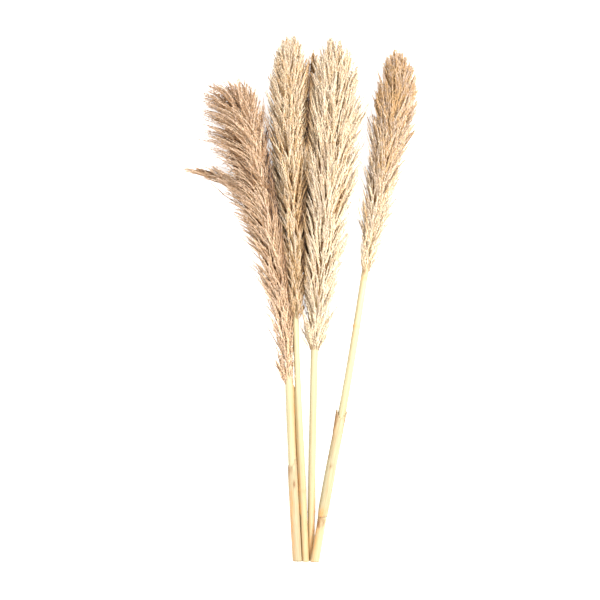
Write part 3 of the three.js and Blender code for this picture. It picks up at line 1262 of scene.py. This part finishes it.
@dataclass(frozen=True)
class StrandStyle:
    """How strands grow. Pairs are the least and the greatest value, spreads are standard deviations.

    Attributes:
        shortest, longest: Lengths between which a strand is held, apart from the plume's foot.
        fan: How many strands leave from one branch.
        fan_turn, fan_share, branch_turn: Spread of a fan about and along the plume, and of the branches.
        fuller_top: How much denser the strands are on the plume's upper side than below.
        root_depths: Depths where a branch begins to fan.
        lock_depths, lock_spread: Depths where the tips of a fan lie together, and their spread.
        tip_shares, first_root: Shares of the plume's length between which tips lie, and where roots begin.
        full_top, full_power: How much denser the tips are at the plume's end, and how late that begins.
        width_steps, least_width: Steps in which the outline's width is added up for that, and the share
            of the half width that is added in each.
        inner_part, inner_depths: Part of the strands that end deep inside, and where.
        stray_part, stray_size: Part of the strands that stick out, and the size of their spikelets.
        stray_depth, stray_room: The depth that their reach is added to as a share of the half width, and
            the least half width that this share is taken of.
        margins: How far strands keep off a fence, in millimetres; below nothing, they cross it.
        foot, mouth_rate, clear_end: Share of the length that is the plume's foot, how quickly the mouth's
            width stops to count, and where the paler inside ends.
        lean_from, lean_top: Where strands begin to lean, and how much those on top do; those on the left
            lean twice as much, and those on the right stay upright.
        bow: How far a leaning strand bows, as a share of its slant.
        flares, sweep, ripples: How far a strand bends in three ways, as shares of its length.
        ripple_turn: The ripple's phase along a strand.
        look: Share of a strand over which its direction is measured, each way.
        tone_spread: Spread of how pale and of how rosy strands are.
        tone_limits, blush_limits: The limits of both.
        tip_blush: How much rosier a strand's tip is.
        bare_part: Part of a strand without spikelets at its root.
        floor: Least height of a strand.
        twig, spikelet, hair: What it carries.
    """

    shortest: float = 24 * MM
    longest: float = 80 * MM
    fan: int = 5
    fan_turn: float = 0.24
    fan_share: float = 0.025
    branch_turn: float = 0.25
    fuller_top: float = 0.3
    root_depths: Pair = (0.15, 0.5)
    lock_depths: Pair = (0.84, 1.04)
    lock_spread: float = 0.025
    tip_shares: Pair = (0.04, 0.995)
    first_root: float = 0.004
    full_top: float = 1.4
    full_power: int = 4
    width_steps: int = 400
    least_width: float = 0.12
    inner_part: float = 0.1
    inner_depths: Pair = (0.5, 0.8)
    stray_part: float = 0.1
    stray_depth: float = 1.05
    stray_room: float = 8 * MM
    stray_size: float = 0.9
    margins: Pair = (-4.5, 0.5)
    foot: float = 0.12
    mouth_rate: float = 4.0
    clear_end: float = 0.5
    lean_from: float = 0.4
    lean_top: float = 0.57
    bow: float = 0.5
    flares: Pair = (0.0, 0.07)
    sweep: float = 0.05
    ripples: Pair = (0.004, 0.016)
    ripple_turn: float = 2.6 * math.pi
    look: float = 0.03
    tone_spread: float = 0.2
    tone_limits: Pair = (0.05, 1.0)
    blush_limits: Pair = (0.0, 0.9)
    tip_blush: float = 0.45
    bare_part: float = 0.1
    floor: float = 1.3 * MM
    twig: TwigStyle = TwigStyle()
    spikelet: SpikeletStyle = SpikeletStyle()
    hair: HairStyle = HairStyle()


@dataclass
class Strands:
    """The lines of all the strands of one plume form, as whole arrays with a row for each strand."""

    stalk: Stalk
    form: PlumeForm
    style: StrandStyle
    draw: np.random.Generator

    def __post_init__(self) -> None:
        """Draws each strand's root and tip.

        Tips are spread over the outline in proportion to its width, one fan after another by the golden
        angle. Length = way out from root to tip / tan(opening angle), so a strand leaves its branch deep
        inside and comes out at the angle drawn for it.
        """
        form, style, draw = self.form, self.style, self.draw
        self.count = form.strands
        fans = -(-self.count // style.fan)
        fan = np.arange(self.count) // style.fan
        first, last = style.tip_shares
        shares = np.linspace(first, 1, style.width_steps)
        widths = form.width_at(shares) + style.least_width * form.half_width
        heap = np.cumsum(widths * (1 + style.full_top * shares**style.full_power))
        fan_share = np.interp((np.arange(fans) + draw.random(fans)) / fans, heap / heap[-1], shares)
        fan_turn = np.arange(fans) * GOLDEN_ANGLE + draw.normal(0, style.branch_turn, fans)
        above = np.abs(fan_share[fan] + draw.normal(0, style.fan_share, self.count) - first)
        tip_share = np.minimum(first + above, last)
        kind = draw.random(self.count)
        lock = draw.uniform(*style.lock_depths, fans)[fan] + draw.normal(0, style.lock_spread, self.count)
        depth = np.where(kind < style.inner_part, draw.uniform(*style.inner_depths, self.count), lock)
        room = np.maximum(form.width_at(tip_share), style.stray_room)
        beyond = draw.uniform(*form.stray_reach, self.count) / room
        stray = kind > 1 - style.stray_part
        self.depth = np.where(stray, style.stray_depth + beyond, depth)
        self.size = np.where(stray, style.stray_size, 1.0)
        self.root_depth = draw.uniform(*style.root_depths, fans)[fan]
        opening = draw.uniform(*form.opening, self.count)
        way_out = (self.depth - self.root_depth) * form.width_at(np.minimum(tip_share, form.widest_at))
        reach = np.clip(way_out / np.tan(opening), style.shortest, style.longest)
        root_share = np.maximum(tip_share - reach / form.route.length, style.first_root)
        fan_turn = fan_turn + style.fuller_top * np.cos(fan_turn)
        turn = fan_turn[fan] + draw.normal(0, style.fan_turn, self.count)
        self.margin = draw.uniform(*style.margins, self.count) * MM
        fences = self.stalk.fences
        mouth_part = np.clip(1 - style.mouth_rate * root_share, 0, 1)
        near_mouth = mouth_part * form.mouth / form.width_at(root_share)
        self.root_depth = np.where(root_share < style.foot, near_mouth, self.root_depth)
        self.bare = style.bare_part + form.bare_foot * np.clip(1 - root_share / style.foot, 0, 1)
        self.clear = form.clear_foot * np.clip(1 - root_share / style.clear_end, 0, 1)
        self.root = form.outline(root_share, fan_turn[fan], self.root_depth, fences)
        self.tip = form.outline(tip_share, turn, self.depth, fences)
        self.length = np.linalg.norm(self.tip - self.root, axis=1)
        forward = form.route.along(tip_share)
        leaning = form.lean * np.clip((tip_share - style.lean_from) / style.lean_from, 0, 1)
        leaning = leaning * (style.lean_top - style.lean_top * np.cos(turn))
        self.slant = (leaning * self.length)[:, None] * np.cross(forward, UP)
        self.root = self.root + self.slant
        self.away = unit(self.tip - form.route.at(tip_share) + NUDGE)
        self.aside = np.cross(forward, self.away)
        self.flare = self.length * draw.uniform(*style.flares, self.count)
        self.sweep = self.length * draw.normal(0, style.sweep, self.count)
        self.phase = draw.uniform(0, 2 * np.pi, self.count)
        self.ripple = self.length * draw.uniform(*style.ripples, self.count)
        tone = np.interp(tip_share, (0, 1), form.tones) + draw.normal(0, style.tone_spread, self.count)
        self.tone = np.clip(tone * self.size, *style.tone_limits)
        blush = np.interp(tip_share, (0, 1), form.blushes) + draw.normal(0, style.tone_spread, self.count)
        self.blush = np.clip(blush, *style.blush_limits)

    def at(self, which: Array, t: Array) -> Array:
        """Points of strands: a straight line, less a flare, plus a bow, a sideways sweep and a ripple.

        Args:
            which: Row numbers of strands.
            t: Shares of their lengths.

        Returns:
            The points, held clear of the floor and the fences.
        """
        hump = 4 * t * (1 - t)
        wave = self.ripple[which] * np.sin(self.style.ripple_turn * t + self.phase[which]) * t
        line = self.root[which] + t[..., None] * (self.tip[which] - self.root[which])
        line = line - (self.flare[which] * hump)[..., None] * self.away[which]
        line = line + (self.style.bow * hump)[..., None] * self.slant[which]
        line = line + (self.sweep[which] * hump + wave)[..., None] * self.aside[which]
        return self.stalk.settle(line, self.margin[which], self.style.floor)

    def along(self, which: Array, t: Array) -> Array:
        """Unit directions of strands, from points a little before and after."""
        return unit(self.at(which, t + self.style.look) - self.at(which, t - self.style.look))

    def marks(self, which: Array, t: Array, tone: Array, corners: int) -> dict[str, Array]:
        """The marks that a plume finish reads, with the same value on every corner of a small part.

        Args:
            which: Row numbers of strands.
            t: Shares of their lengths.
            tone: How pale each part is.
            corners: Vertices in a part.

        Returns:
            The depth, tone, blush and straw share of every vertex.
        """
        depth = self.root_depth[which] + (self.depth[which] - self.root_depth[which]) * t
        depth = depth + self.clear[which] * np.maximum(1 - depth, 0)
        # Seams and partings lower the depth mark: painted shade.
        depth = depth * self.stalk.painted_shade_factor(self.at(which, t))
        blush = np.clip(self.blush[which] + self.style.tip_blush * t**6, 0, 1)
        values = {"depth": depth, "tone": tone, "blush": blush, "straw": np.zeros_like(depth)}
        return {name: np.repeat(value.ravel(), corners) for name, value in values.items()}

    def twigs(self) -> Shape:
        """The thin twig of every strand.

        Returns:
            The twigs, each closed.
        """
        style, rows = self.style.twig, np.arange(self.count)
        which, t = np.meshgrid(rows, np.linspace(0, style.end, style.rings), indexing="ij")
        radii = style.half * (1 - style.taper * t)
        vertices, faces = tubes(self.at(which, t), radii, style.sides)
        marked_at = np.full(self.count, style.marked_at)
        marks = self.marks(rows, marked_at, style.tone * self.tone, vertices.shape[1])
        return Shape(vertices.reshape(-1, 3), faces, marks)

    def spikelets(self) -> Shape:
        """The spikelets, which leave each strand to one side and the other in turn and overlap.

        Returns:
            The spikelets, each closed.
        """
        style, draw = self.style.spikelet, self.draw
        counts = np.round(self.length * (1 - self.bare) / style.spacing).astype(int)
        counts = np.maximum(counts, style.fewest)
        which = np.repeat(np.arange(self.count), counts)
        total = len(which)
        rank = np.arange(total) - np.repeat(np.cumsum(counts) - counts, counts)
        t = self.bare[which] + (1 - self.bare[which]) * (rank + style.first) / counts[which]
        base, along = self.at(which, t), self.along(which, t)
        turn = self.phase[which] + rank * np.pi + draw.normal(0, style.turn_spread, total)
        out = turned(turn, *across(along))
        taper = self.size[which] * (1 - style.tip_taper * t**4 - style.root_taper * (1 - t) ** 5)
        splay = style.splay * draw.uniform(*style.splays, total) * (1 - style.closed_tip * t**3)
        reach = style.length * taper * draw.uniform(*style.lengths, total)
        tip = base + reach[:, None] * turned(splay, along, out)
        half = style.half * taper * draw.uniform(*style.halves, total)
        roll = draw.normal(0, style.roll_spread, total)
        vertices, faces = husks(base, tip, half, style.belly, style.fold, roll)
        vertices = self.stalk.settle(vertices, self.margin[which, None], style.floor)
        tone = np.clip(self.tone[which] + draw.normal(0, style.tone_spread, total), 0, 1)
        marks = self.marks(which, t, tone, 4)
        marks["tone"] *= np.tile([style.base_tone, 1.0, 1.0, 1.0], total)
        return Shape(vertices.reshape(-1, 3), faces, marks)

    def hairs(self) -> Shape:
        """Silky hairs that stand off the outer part of each strand.

        Returns:
            The hairs, each closed.
        """
        style, draw = self.style.hair, self.draw
        which = np.repeat(np.arange(self.count), style.number)
        t = draw.uniform(*style.places, len(which))
        base, along = self.at(which, t), self.along(which, t)
        out = turned(draw.uniform(0, 2 * np.pi, len(which)), *across(along))
        splay = draw.uniform(*style.splays, len(which))
        reach = style.length * draw.uniform(*style.lengths, len(which))
        tip = base + reach[:, None] * turned(splay, along, out)
        vertices, faces = needles(base, tip, style.half)
        vertices = self.stalk.settle(vertices, self.margin[which, None], style.floor)
        return Shape(vertices.reshape(-1, 3), faces, self.marks(which, t, self.tone[which], 4))


@dataclass(frozen=True)
class HeartStyle:
    """The dense middle of a plume.

    Attributes:
        side, top, under: Its half width, height above and depth below the route, as shares of the
            plume's half width.
        start, reach: Where it begins, and how far it runs from there, as shares of the plume's length.
        points: Where the two points that close it are.
        thin_end: Square of the least size that its last rings keep.
        thickens: The distances from the plume's foot where it begins to thicken and where it is done.
        rings, sides: Rings along it, and the vertices in each.
        furrows, furrow: Furrows round it, and their depth as a share of the radius.
        twists: How the furrows turn: the height and the phase of a wave, and a steady part.
        breaks: How the furrows come and go: waves round it, and how those turn.
        sag: How far below the floor it may reach before it is lifted to lie flat.
        meeting: Least distance to a neighbour, in half widths, without spreading, and how fast that begins.
        steepest: The least cosine that the distance to a neighbour is divided by.
        meets_below: Sine of the turn below which it spreads.
        margin, floor: The room that it keeps to a fence, and its least height.
        depth, tones: Its depth for the finish, which gives it the deep brown and painted shade of the inside,
            how pale it is, and how much paler its ridges are.
    """

    side: float = 0.5
    top: float = 0.42
    under: float = 0.6
    start: float = 0.004
    reach: float = 0.9
    points: Pair = (0.003, 0.906)
    thin_end: float = 0.0004
    thickens: Pair = (25 * MM, 95 * MM)
    rings: int = 90
    sides: int = 60
    furrows: int = 15
    furrow: float = 0.16
    twists: tuple[float, float, float] = (2.2, 9.0, 3.0)
    breaks: tuple[int, float] = (4, 30.0)
    sag: float = 1.5 * MM
    meeting: Pair = (1.15, 6.0)
    steepest: float = 0.3
    meets_below: float = -0.25
    margin: float = -0.6 * MM
    floor: float = 0.3 * MM
    depth: float = 0.22
    tones: Pair = (0.3, 1.6)


@dataclass
class Plume:
    """The plume of a stalk: its furrowed heart, its strands of spikelets and its hairs.

    Attributes:
        stalk: The stalk.
        style: How its strands grow.
        core: How its heart is made.
    """

    stalk: Stalk
    style: StrandStyle
    core: HeartStyle

    def spread(self, form: PlumeForm, share: Array, turn: Array, aside: Array) -> Array:
        """The heart's half width, with its lower part as wide as to a neighbour that touches the plume.

        Args:
            form: The plume's form.
            share: Shares of the length, a row for each ring.
            turn: Turns, a column for each side.
            aside: The half widths without a neighbour.

        Returns:
            The half widths.
        """
        # The spread lower part lies along the seam, where its dark colour shows as painted shade.
        begins, rate = self.core.meeting
        middle = form.route.at(share[:, 0])
        for fence in (each for each in self.stalk.fences if each.touching):
            room = fence.room(middle)[:, None]
            near = np.clip(rate * (begins - room / form.width_at(share)), 0, 1)
            meeting = near * room / np.maximum(np.abs(np.cos(turn)), self.core.steepest)
            facing = (fence.side.value * np.cos(turn) > 0) & (np.sin(turn) < self.core.meets_below)
            aside = np.where(facing, np.maximum(aside, meeting), aside)
        return aside

    def heart(self, form: PlumeForm) -> Shape:
        """The stem inside the plume, which thickens to the dense middle where branches lie in furrows.

        radius = rachis, and further up share of the half width * (1 + furrow * cos(furrows * turn + slow
        twist)), closed by a point at both ends. Where a neighbour touches the plume, the heart's lower part
        spreads as far as that.

        Args:
            form: The plume's form.

        Returns:
            The closed surface.
        """
        core = self.core
        rise = np.linspace(0, 1, core.rings)[:, None]
        share = core.start + rise * core.reach
        turn = even_turns(core.sides)[None, :]
        full = form.core * form.width_at(share)
        ends = np.sqrt(np.clip(1 - rise**6, core.thin_end, 1))
        begins, done = core.thickens
        begun = np.clip((share * form.route.length - begins) / (done - begins), 0, 1)
        grown = begun**2 * (3 - 2 * begun)
        high, phase, steady = core.twists
        twist = high * np.sin(phase * share + self.stalk.seed) + steady * share
        breaks = np.cos(core.breaks[0] * turn - core.breaks[1] * share)
        furrow = 1 + grown * core.furrow * (np.cos(core.furrows * turn + twist) * breaks)
        under = np.minimum(full * core.under, form.route.at(share)[..., 2] + core.sag)
        above = np.where(np.sin(turn) > 0, full * core.top, under)
        aside = self.spread(form, share, turn, full * core.side + 0 * turn)
        wide = (form.rachis + grown * (aside - form.rachis)) * ends * furrow
        tall = (form.rachis + grown * (above - form.rachis)) * ends * furrow
        body = form.point(share + 0 * turn, wide * np.cos(turn), tall * np.sin(turn))
        body = self.stalk.hold(body, core.margin, core.floor).reshape(-1, 3)
        points = np.concatenate([body, form.route.at(np.array(core.points))])
        plain, ridge = core.tones
        # The low depth mark paints the heart dark brown, apart from its straw foot: painted shade inside the
        # plume.
        marks = {
            "depth": np.full(len(points), core.depth),
            "tone": np.append(plain + ridge * (furrow - 1), [plain, plain]),
            "blush": np.zeros(len(points)),
            "straw": np.append(1 - grown + 0 * turn, [1.0, 0.0]),
        }
        return Shape(points, flipped(closed_faces(core.rings, core.sides)), marks)

    def build(self, finish: PlumeFinish) -> list[bpy.types.Object]:
        """Makes the pieces of the plume.

        Args:
            finish: Their finish.

        Returns:
            The finished pieces.
        """
        draw = np.random.default_rng(self.stalk.seed)
        material = finish.material()
        node = f"plume_{self.stalk.name}"
        strands = [Strands(self.stalk, form, self.style, draw) for form in self.stalk.plumes]
        parts = {
            "heart": [self.heart(form) for form in self.stalk.plumes],
            "spikelets": [shape for each in strands for shape in (each.twigs(), each.spikelets())],
            "hairs": [each.hairs() for each in strands],
        }
        return [
            place(Shape.joined(shapes).to_object(f"{node}_{part}"), node, material)
            for part, shapes in parts.items()
        ]


@dataclass(frozen=True)
class Lamp:
    """A square soft light that faces the bundle: its name, place, width and power."""

    name: str
    at: tuple[float, float, float]
    size: float
    power: float

    def hang(self) -> None:
        """Puts the light in its place."""
        data = bpy.data.lights.new(self.name, "AREA")
        data.size = self.size
        data.energy = self.power
        lamp = bpy.data.objects.new(self.name, data)
        lamp.location = self.at
        towards = -np.array(self.at)
        lamp.rotation_euler = (
            math.acos(-towards[2] / np.linalg.norm(towards)),
            0.0,
            math.atan2(towards[1], towards[0]) - math.pi / 2,
        )
        bpy.context.scene.collection.objects.link(lamp)


@dataclass(frozen=True)
class Studio:
    """The pale floor, the soft lights and the camera that looks straight down.

    Attributes:
        floor_radius: The floor's radius.
        floor_corners: Corners of its rim.
        floor_drop: How far it lies below the bundle.
        view_width: The width that the picture shows at the height of the plumes' middle.
        view_height: That height.
        lens: The camera's focal length, in millimetres.
        sensor: The camera's sensor width, in millimetres.
        centre: The point that the camera looks at.
        lamps: The lights.
        sky: Strength of the even light all round.
    """

    floor_radius: float = 6.0
    floor_corners: int = 96
    floor_drop: float = 0.2 * MM
    view_width: float = 0.8
    view_height: float = 0.016
    lens: float = 100.0
    sensor: float = 36.0
    centre: Pair = (-0.00067, -0.00067)
    lamps: tuple[Lamp, ...] = (
        Lamp("key", (1.05, 0.55, 1.45), size=0.7, power=90.0),
        Lamp("fill", (-1.2, -0.6, 1.6), size=1.6, power=26.0),
    )
    sky: float = 1.1

    def floor(self) -> None:
        """A plain round floor just under the bundle."""
        turns = even_turns(self.floor_corners)
        rim = np.stack([np.cos(turns), np.sin(turns), np.zeros_like(turns)], axis=1) * self.floor_radius
        rim[:, 2] = -self.floor_drop
        floor = Shape(rim, [np.arange(self.floor_corners)[None, :]]).to_object("floor")
        floor.data.materials.append(FloorFinish().material())

    def camera(self) -> None:
        """A long lens that looks straight down, far enough off to show the view's width."""
        data = bpy.data.cameras.new("camera")
        data.lens = self.lens
        data.sensor_width = self.sensor
        camera = bpy.data.objects.new("camera", data)
        distance = self.view_width * self.lens / self.sensor
        camera.location = (*self.centre, self.view_height + distance)
        bpy.context.scene.collection.objects.link(camera)
        bpy.context.scene.camera = camera

    def sky_light(self) -> None:
        """An even pale light from all round."""
        world = bpy.data.worlds.new("studio")
        world.use_nodes = True
        background = world.node_tree.nodes["Background"]
        background.inputs["Color"].default_value = (1.0, 1.0, 1.0, 1.0)
        background.inputs["Strength"].default_value = self.sky
        bpy.context.scene.world = world

    def build(self) -> None:
        """Sets the whole studio up."""
        self.floor()
        for lamp in self.lamps:
            lamp.hang()
        self.sky_light()
        self.camera()
        bpy.context.scene.view_settings.view_transform = "Standard"


def spots(tint: Tint, *rows: tuple[float, ...]) -> tuple[StainAndShade, ...]:
    """Stains, or patches of painted shade, of one tint, from their places, turns, half lengths, half widths
    and strengths.
    """
    return tuple(StainAndShade(tint, *row) for row in rows)


def shadow(foot: Pair, head: Pair, half_width: float, shade: float) -> Parting:
    """A parting that only paints shade on the fluff, because it begins above every plume."""
    return Parting(foot, head, half_width, floor=ABOVE_PLUMES, shade=shade)


ABOVE_PLUMES = 99.0
PLUMES_1_2 = ((-10.8, -27.3), (-51.3, 272.7))
PLUME_1_CULM_2 = ((-9.6, -114.0), (-10.8, -27.3))
PLUMES_2_3 = ((2.7, -27.3), (12.7, 319.3))
PLUMES_3_4 = ((75.3, 152.7), (88.7, 266.0))
CUT_END = -350.0
# Painted shade along the seam between plumes 2 and 3.
SEAM_2_3_SHADE = (shadow((8.5, 206), (12.5, 318), 3.0, 0.6), shadow((3.5, 22), (5.5, 85), 3.0, 0.45))

ROSY_PLUME = PlumeFinish(
    "rosy_plume",
    pale=(0.86, 0.62, 0.38),
    warm=(0.76, 0.47, 0.26),
    gold=(0.37, 0.19, 0.075),
    deep=(0.08, 0.035, 0.012),
    rosy=(0.80, 0.58, 0.43),
)
CREAM_PLUME = PlumeFinish(
    "cream_plume",
    pale=(0.95, 0.81, 0.57),
    warm=(0.92, 0.70, 0.44),
    gold=(0.58, 0.34, 0.13),
    deep=(0.13, 0.06, 0.018),
    rosy=(0.52, 0.39, 0.30),
)
BRIGHT_STRAW = StrawFinish("bright_straw", (0.41, 0.36, 0.21), (0.36, 0.27, 0.13))
DRY_SHEATH = StrawFinish(
    "dry_sheath", (0.39, 0.34, 0.205), (0.34, 0.24, 0.12), roughness=(0.52, 0.72), grain=0.5
)
PLUME_FINISHES = {"plume_rosy": ROSY_PLUME, "plume_cream": CREAM_PLUME}

STALK_1 = Stalk(
    name="1", seed=14,
    culm=CulmForm(
        route=((-3.5, CUT_END, 7.2), (-10.7, -227, 8.8), (-14.5, -140, 11.6)), foot_radius=5.5 * MM,
        head_radius=5.3 * MM,
        stains_and_shade=(
            # Both patches are painted shade along its right side, in the gap to culm 2.
            *spots(Tint.RUST, (190, 355, 90, 32, 0.9)),
            *spots(Tint.BROWN, (175, 345, 70, 20, 0.5)),
        ),
        # A ridge that fills the gap to culm 2, coloured by the painted shade above.
        edges=(ShadeRidge(118, 240, 350, 2.4),),
    ),
    sheath=SheathForm(
        start=0.0, end=128 * MM, extra_foot=0.4 * MM, tear_depth=9 * MM, tear_turn=0.6, lip=0.0,
        stains_and_shade=(
            *spots(
                Tint.BROWN,
                (120, 165, 12, 28), (104, 78, 4, 12, 1.8), (124, 120, 6, 30, 0.6),
                # Painted shade along its right side, in the gap to culm 2.
                (80, 350, 60, 20, 0.5),
            ),
            *spots(
                Tint.RUST,
                (40, 150, 60, 30, 0.7), (84, 110, 14, 8, 0.8), (70, 125, 55, 10, 0.55),
                # Painted shade along its right side, in the gap to culm 2.
                (50, 0, 110, 32, 0.9),
            ),
        ),
        # A ridge that fills the gap to culm 2, coloured by the painted shade above.
        edges=(ShadeRidge(46, 130, 352, 1.5),),
    ),
    plumes=(
        PlumeForm(
            route=millimetre_route((-15.3, -114, 12.5), (-21.3, -27, 14), (-38, 53, 17.5),
                                   (-68, 153, 20.5), (-90, 236, 20.5), (-102.5, 292, 14)),
            half_width=45 * MM, mouth=5.5 * MM, widest_at=0.87, rise=0.84, fall=0.24, strands=1450,
            lean=0.4, tones=(0.95, 0.33), bare_foot=0.0, clear_foot=0.5, core=0.8, top_share=0.735,
        ),
        PlumeForm(
            route=millimetre_route((-31.3, 42, 18), (-51.3, 98, 18), (-72.7, 135.5, 17),
                                   (-94, 156, 15.5), (-117, 168.5, 14), (-160, 174.5, 11)),
            half_width=11 * MM, mouth=6 * MM, widest_at=0.55, rise=0.8, fall=0.55, strands=160,
            opening=(0.1, 0.3), core=0.3, rachis=1.0 * MM,
        ),
        PlumeForm(
            route=millimetre_route((-19, -113, 12.5), (-23, -101, 12.5), (-27, -88, 12.5),
                                   (-29, -70, 12.5)),
            half_width=6.5 * MM, mouth=3 * MM, widest_at=0.6, rise=0.7, fall=0.5, strands=32,
            opening=(0.15, 0.5), tones=(0.5, 0.5), core=0.1, rachis=0.4 * MM,
        ),
    ),
    fences=[Fence(*PLUMES_1_2, Side.LEFT), Fence(*PLUME_1_CULM_2, Side.LEFT, touching=False)],
    plume_slot="plume_rosy",
    partings=(
        Parting((-90, 252.7), (-104.7, 270), 1.3),
        Parting((-78, 204.7), (-90, 218), 1.3),
        Parting((-56.7, 155.3), (-76, 175), 0.8),
        shadow((-60, 150), (-82, 188), 3.5, 0.45),
        shadow((-80, 250), (-100, 268), 3.5, 0.45),
        shadow((-38, 112), (-45.5, 226), 2.5, 0.5),
        Parting((-97, 172), (-118, 190), 3.0, floor=-6.0, shade=0.0),
    ),
)
STALK_2 = Stalk(
    name="2", seed=24,
    culm=CulmForm(
        route=((7.1, CUT_END, 12.2), (1.9, -227, 12.2), (-2.9, -127, 12.3)), foot_radius=4.4 * MM,
        head_radius=4.2 * MM, nodes_at=(96,),
        stains_and_shade=(
            # Painted shade: the patches at turn 180 along its left side, towards stalk 1, and the rust one at
            # turn 0 near the cut end, in the gap to culm 3.
            *spots(
                Tint.RUST, (50, 90, 110, 120, 0.35), (60, 180, 110, 34, 0.9), (20, 0, 45, 30, 0.9)
            ),
            *spots(Tint.BROWN, (285, 180, 50, 34, 0.75), (96, 60, 2.5, 60, 0.3)),
        ),
        # A ridge that fills the gap to culm 1, coloured by the painted shade at turn 180.
        edges=(ShadeRidge(60, 235, 185, 1.2),),
    ),
    plumes=(
        PlumeForm(
            route=millimetre_route((-6.5, -27.3, 12.5), (-7, 40, 12.5), (-9.3, 132.7, 13.4),
                                   (-14, 220, 13.8), (-12.5, 300, 13), (-13.5, 353, 11)),
            half_width=30 * MM, mouth=5.4 * MM, widest_at=0.8, rise=0.42, fall=0.5, strands=1550,
            tones=(0.48, 0.6),
        ),
    ),
    fences=[Fence(*PLUMES_2_3, Side.LEFT), Fence(*PLUMES_1_2, Side.RIGHT)], plume_slot="plume_cream",
    partings=(
        Parting((-8, 123.3), (2, 184.7), 1.3),
        shadow((0, 100), (3, 150), 4.0, 0.5),
        shadow((-36, 205), (-38, 228), 4.0, 0.4),
        *SEAM_2_3_SHADE,
    ),
)
STALK_3 = Stalk(
    name="3", seed=37,
    culm=CulmForm(
        route=((13.7, CUT_END, 5.05), (15.5, -227, 7), (17.5, -127, 10.2)), foot_radius=5 * MM,
        head_radius=5 * MM, nodes_at=(66,),
        stains_and_shade=(
            # Near the cut end, where culms 2 and 4 lie over it: the patches at turns 20 and 5 are painted
            # shadow of culm 4, and the one at turn 175 painted shade in the gap to culm 2.
            *spots(
                Tint.RUST, (10, 90, 45, 120, 0.7), (30, 175, 60, 32, 0.8), (55, 20, 50, 40, 0.8)
            ),
            *spots(Tint.BROWN, (60, 5, 40, 24, 0.9)),
        ),
    ),
    plumes=(
        PlumeForm(
            route=millimetre_route((18.8, -70, 12.5), (23.5, 0, 16), (32.3, 86, 19.5),
                                   (40.5, 185, 20.5), (45.5, 290, 17.5), (46.5, 350, 12)),
            half_width=42.5 * MM, mouth=5 * MM, widest_at=0.68, rise=0.5, fall=0.45, strands=1540,
            tones=(0.95, 0.74), bare_foot=0.08, clear_foot=0.7, top_share=0.79,
        ),
        PlumeForm(
            route=millimetre_route((15, 235, 9), (15.5, 270, 9), (17, 305, 8.5), (19, 337, 8)),
            half_width=6.5 * MM, mouth=3 * MM, widest_at=0.7, rise=0.7, fall=0.6, strands=50,
            # Its low tones paint it dark: painted shade, as it lies low between plumes 2 and 3.
            opening=(0.06, 0.2), tones=(0.1, 0.1), core=0.3, rachis=0.8 * MM,
        ),
    ),
    fences=[Fence(*PLUMES_3_4, Side.LEFT, touching=False), Fence(*PLUMES_2_3, Side.RIGHT)],
    plume_slot="plume_cream", partings=(Parting((44, 110), (56.7, 143.3), 1.4), *SEAM_2_3_SHADE),
)
STALK_4 = Stalk(
    name="4", seed=50,
    culm=CulmForm(
        route=((19.2, CUT_END, 15.3), (40.4, -227, 14.2), (60, -127, 13.2), (74.3, -40.7, 12.4)),
        foot_radius=6.1 * MM, head_radius=4.8 * MM, nodes_at=(57, 320),
        stains_and_shade=(
            *spots(
                Tint.RUST,
                (30, 130, 40, 35, 0.8), (320, 130, 2.5, 40, 0.9), (308, 120, 2.5, 25, 0.5),
                (384, 90, 2, 90, 1.2),
            ),
            *spots(Tint.BROWN, (54.5, 108, 6, 44, 4.0), (393, 110, 5, 60, 0.9)),
        ),
    ),
    sheath=SheathForm(
        start=61 * MM, end=196 * MM, extra_foot=0.2 * MM, tear_depth=12 * MM, tear_turn=2.9,
        lip=2.8 * MM, flap=20 * MM, flap_turn=0.45, foot_taper=14 * MM,
        stains_and_shade=(
            *spots(
                Tint.BROWN,
                (200, 20, 16, 30), (194, 150, 9, 30, 1.8), (178, 160, 18, 12, 1.2), (143, 150, 3, 20),
                (130, 95, 3, 15),
            ),
            *spots(Tint.RUST, (180, 140, 14, 26, 0.45), (66, 112, 7, 38, 1.2)),
        ),
    ),
    plumes=(
        PlumeForm(
            route=millimetre_route((86.4, 36.7, 12), (95, 86, 13.5), (114, 186, 15.5),
                                   (123.5, 232.7, 15.5), (130, 279.3, 14.5), (128.5, 335, 11)),
            half_width=29.5 * MM, mouth=5 * MM, widest_at=0.74, rise=0.6, fall=0.62, strands=1450,
            tones=(0.9, 0.28), blushes=(0.0, 1.0), clear_foot=0.5, stray_reach=(3 * MM, 9 * MM),
        ),
    ),
    fences=[Fence(*PLUMES_3_4, Side.RIGHT, touching=False)], plume_slot="plume_cream",
    partings=(
        Parting((123.3, 262), (124.5, 300), 0.9, shade=0.4),
        shadow((122, 250), (125, 305), 3.0, 0.4),
        shadow((100, 238), (105, 275), 3.5, 0.5),
    ),
)
STALKS = (STALK_1, STALK_2, STALK_3, STALK_4)


def main() -> None:
    """Builds every stalk of the bundle in order, then the studio, and logs each piece."""
    logging.basicConfig(level=logging.INFO, format="%(name)s: %(message)s")
    for stalk in STALKS:
        pieces = [Culm(stalk).build(BRIGHT_STRAW)]
        if stalk.sheath:
            pieces.append(Sheath(stalk).build(DRY_SHEATH))
        plume = Plume(stalk, StrandStyle(), HeartStyle())
        pieces.extend(plume.build(PLUME_FINISHES[stalk.plume_slot]))
        for piece in pieces:
            log.info("%s: %d faces", piece.name, len(piece.data.polygons))
    Studio().build()


if __name__ == "__main__":
    main()
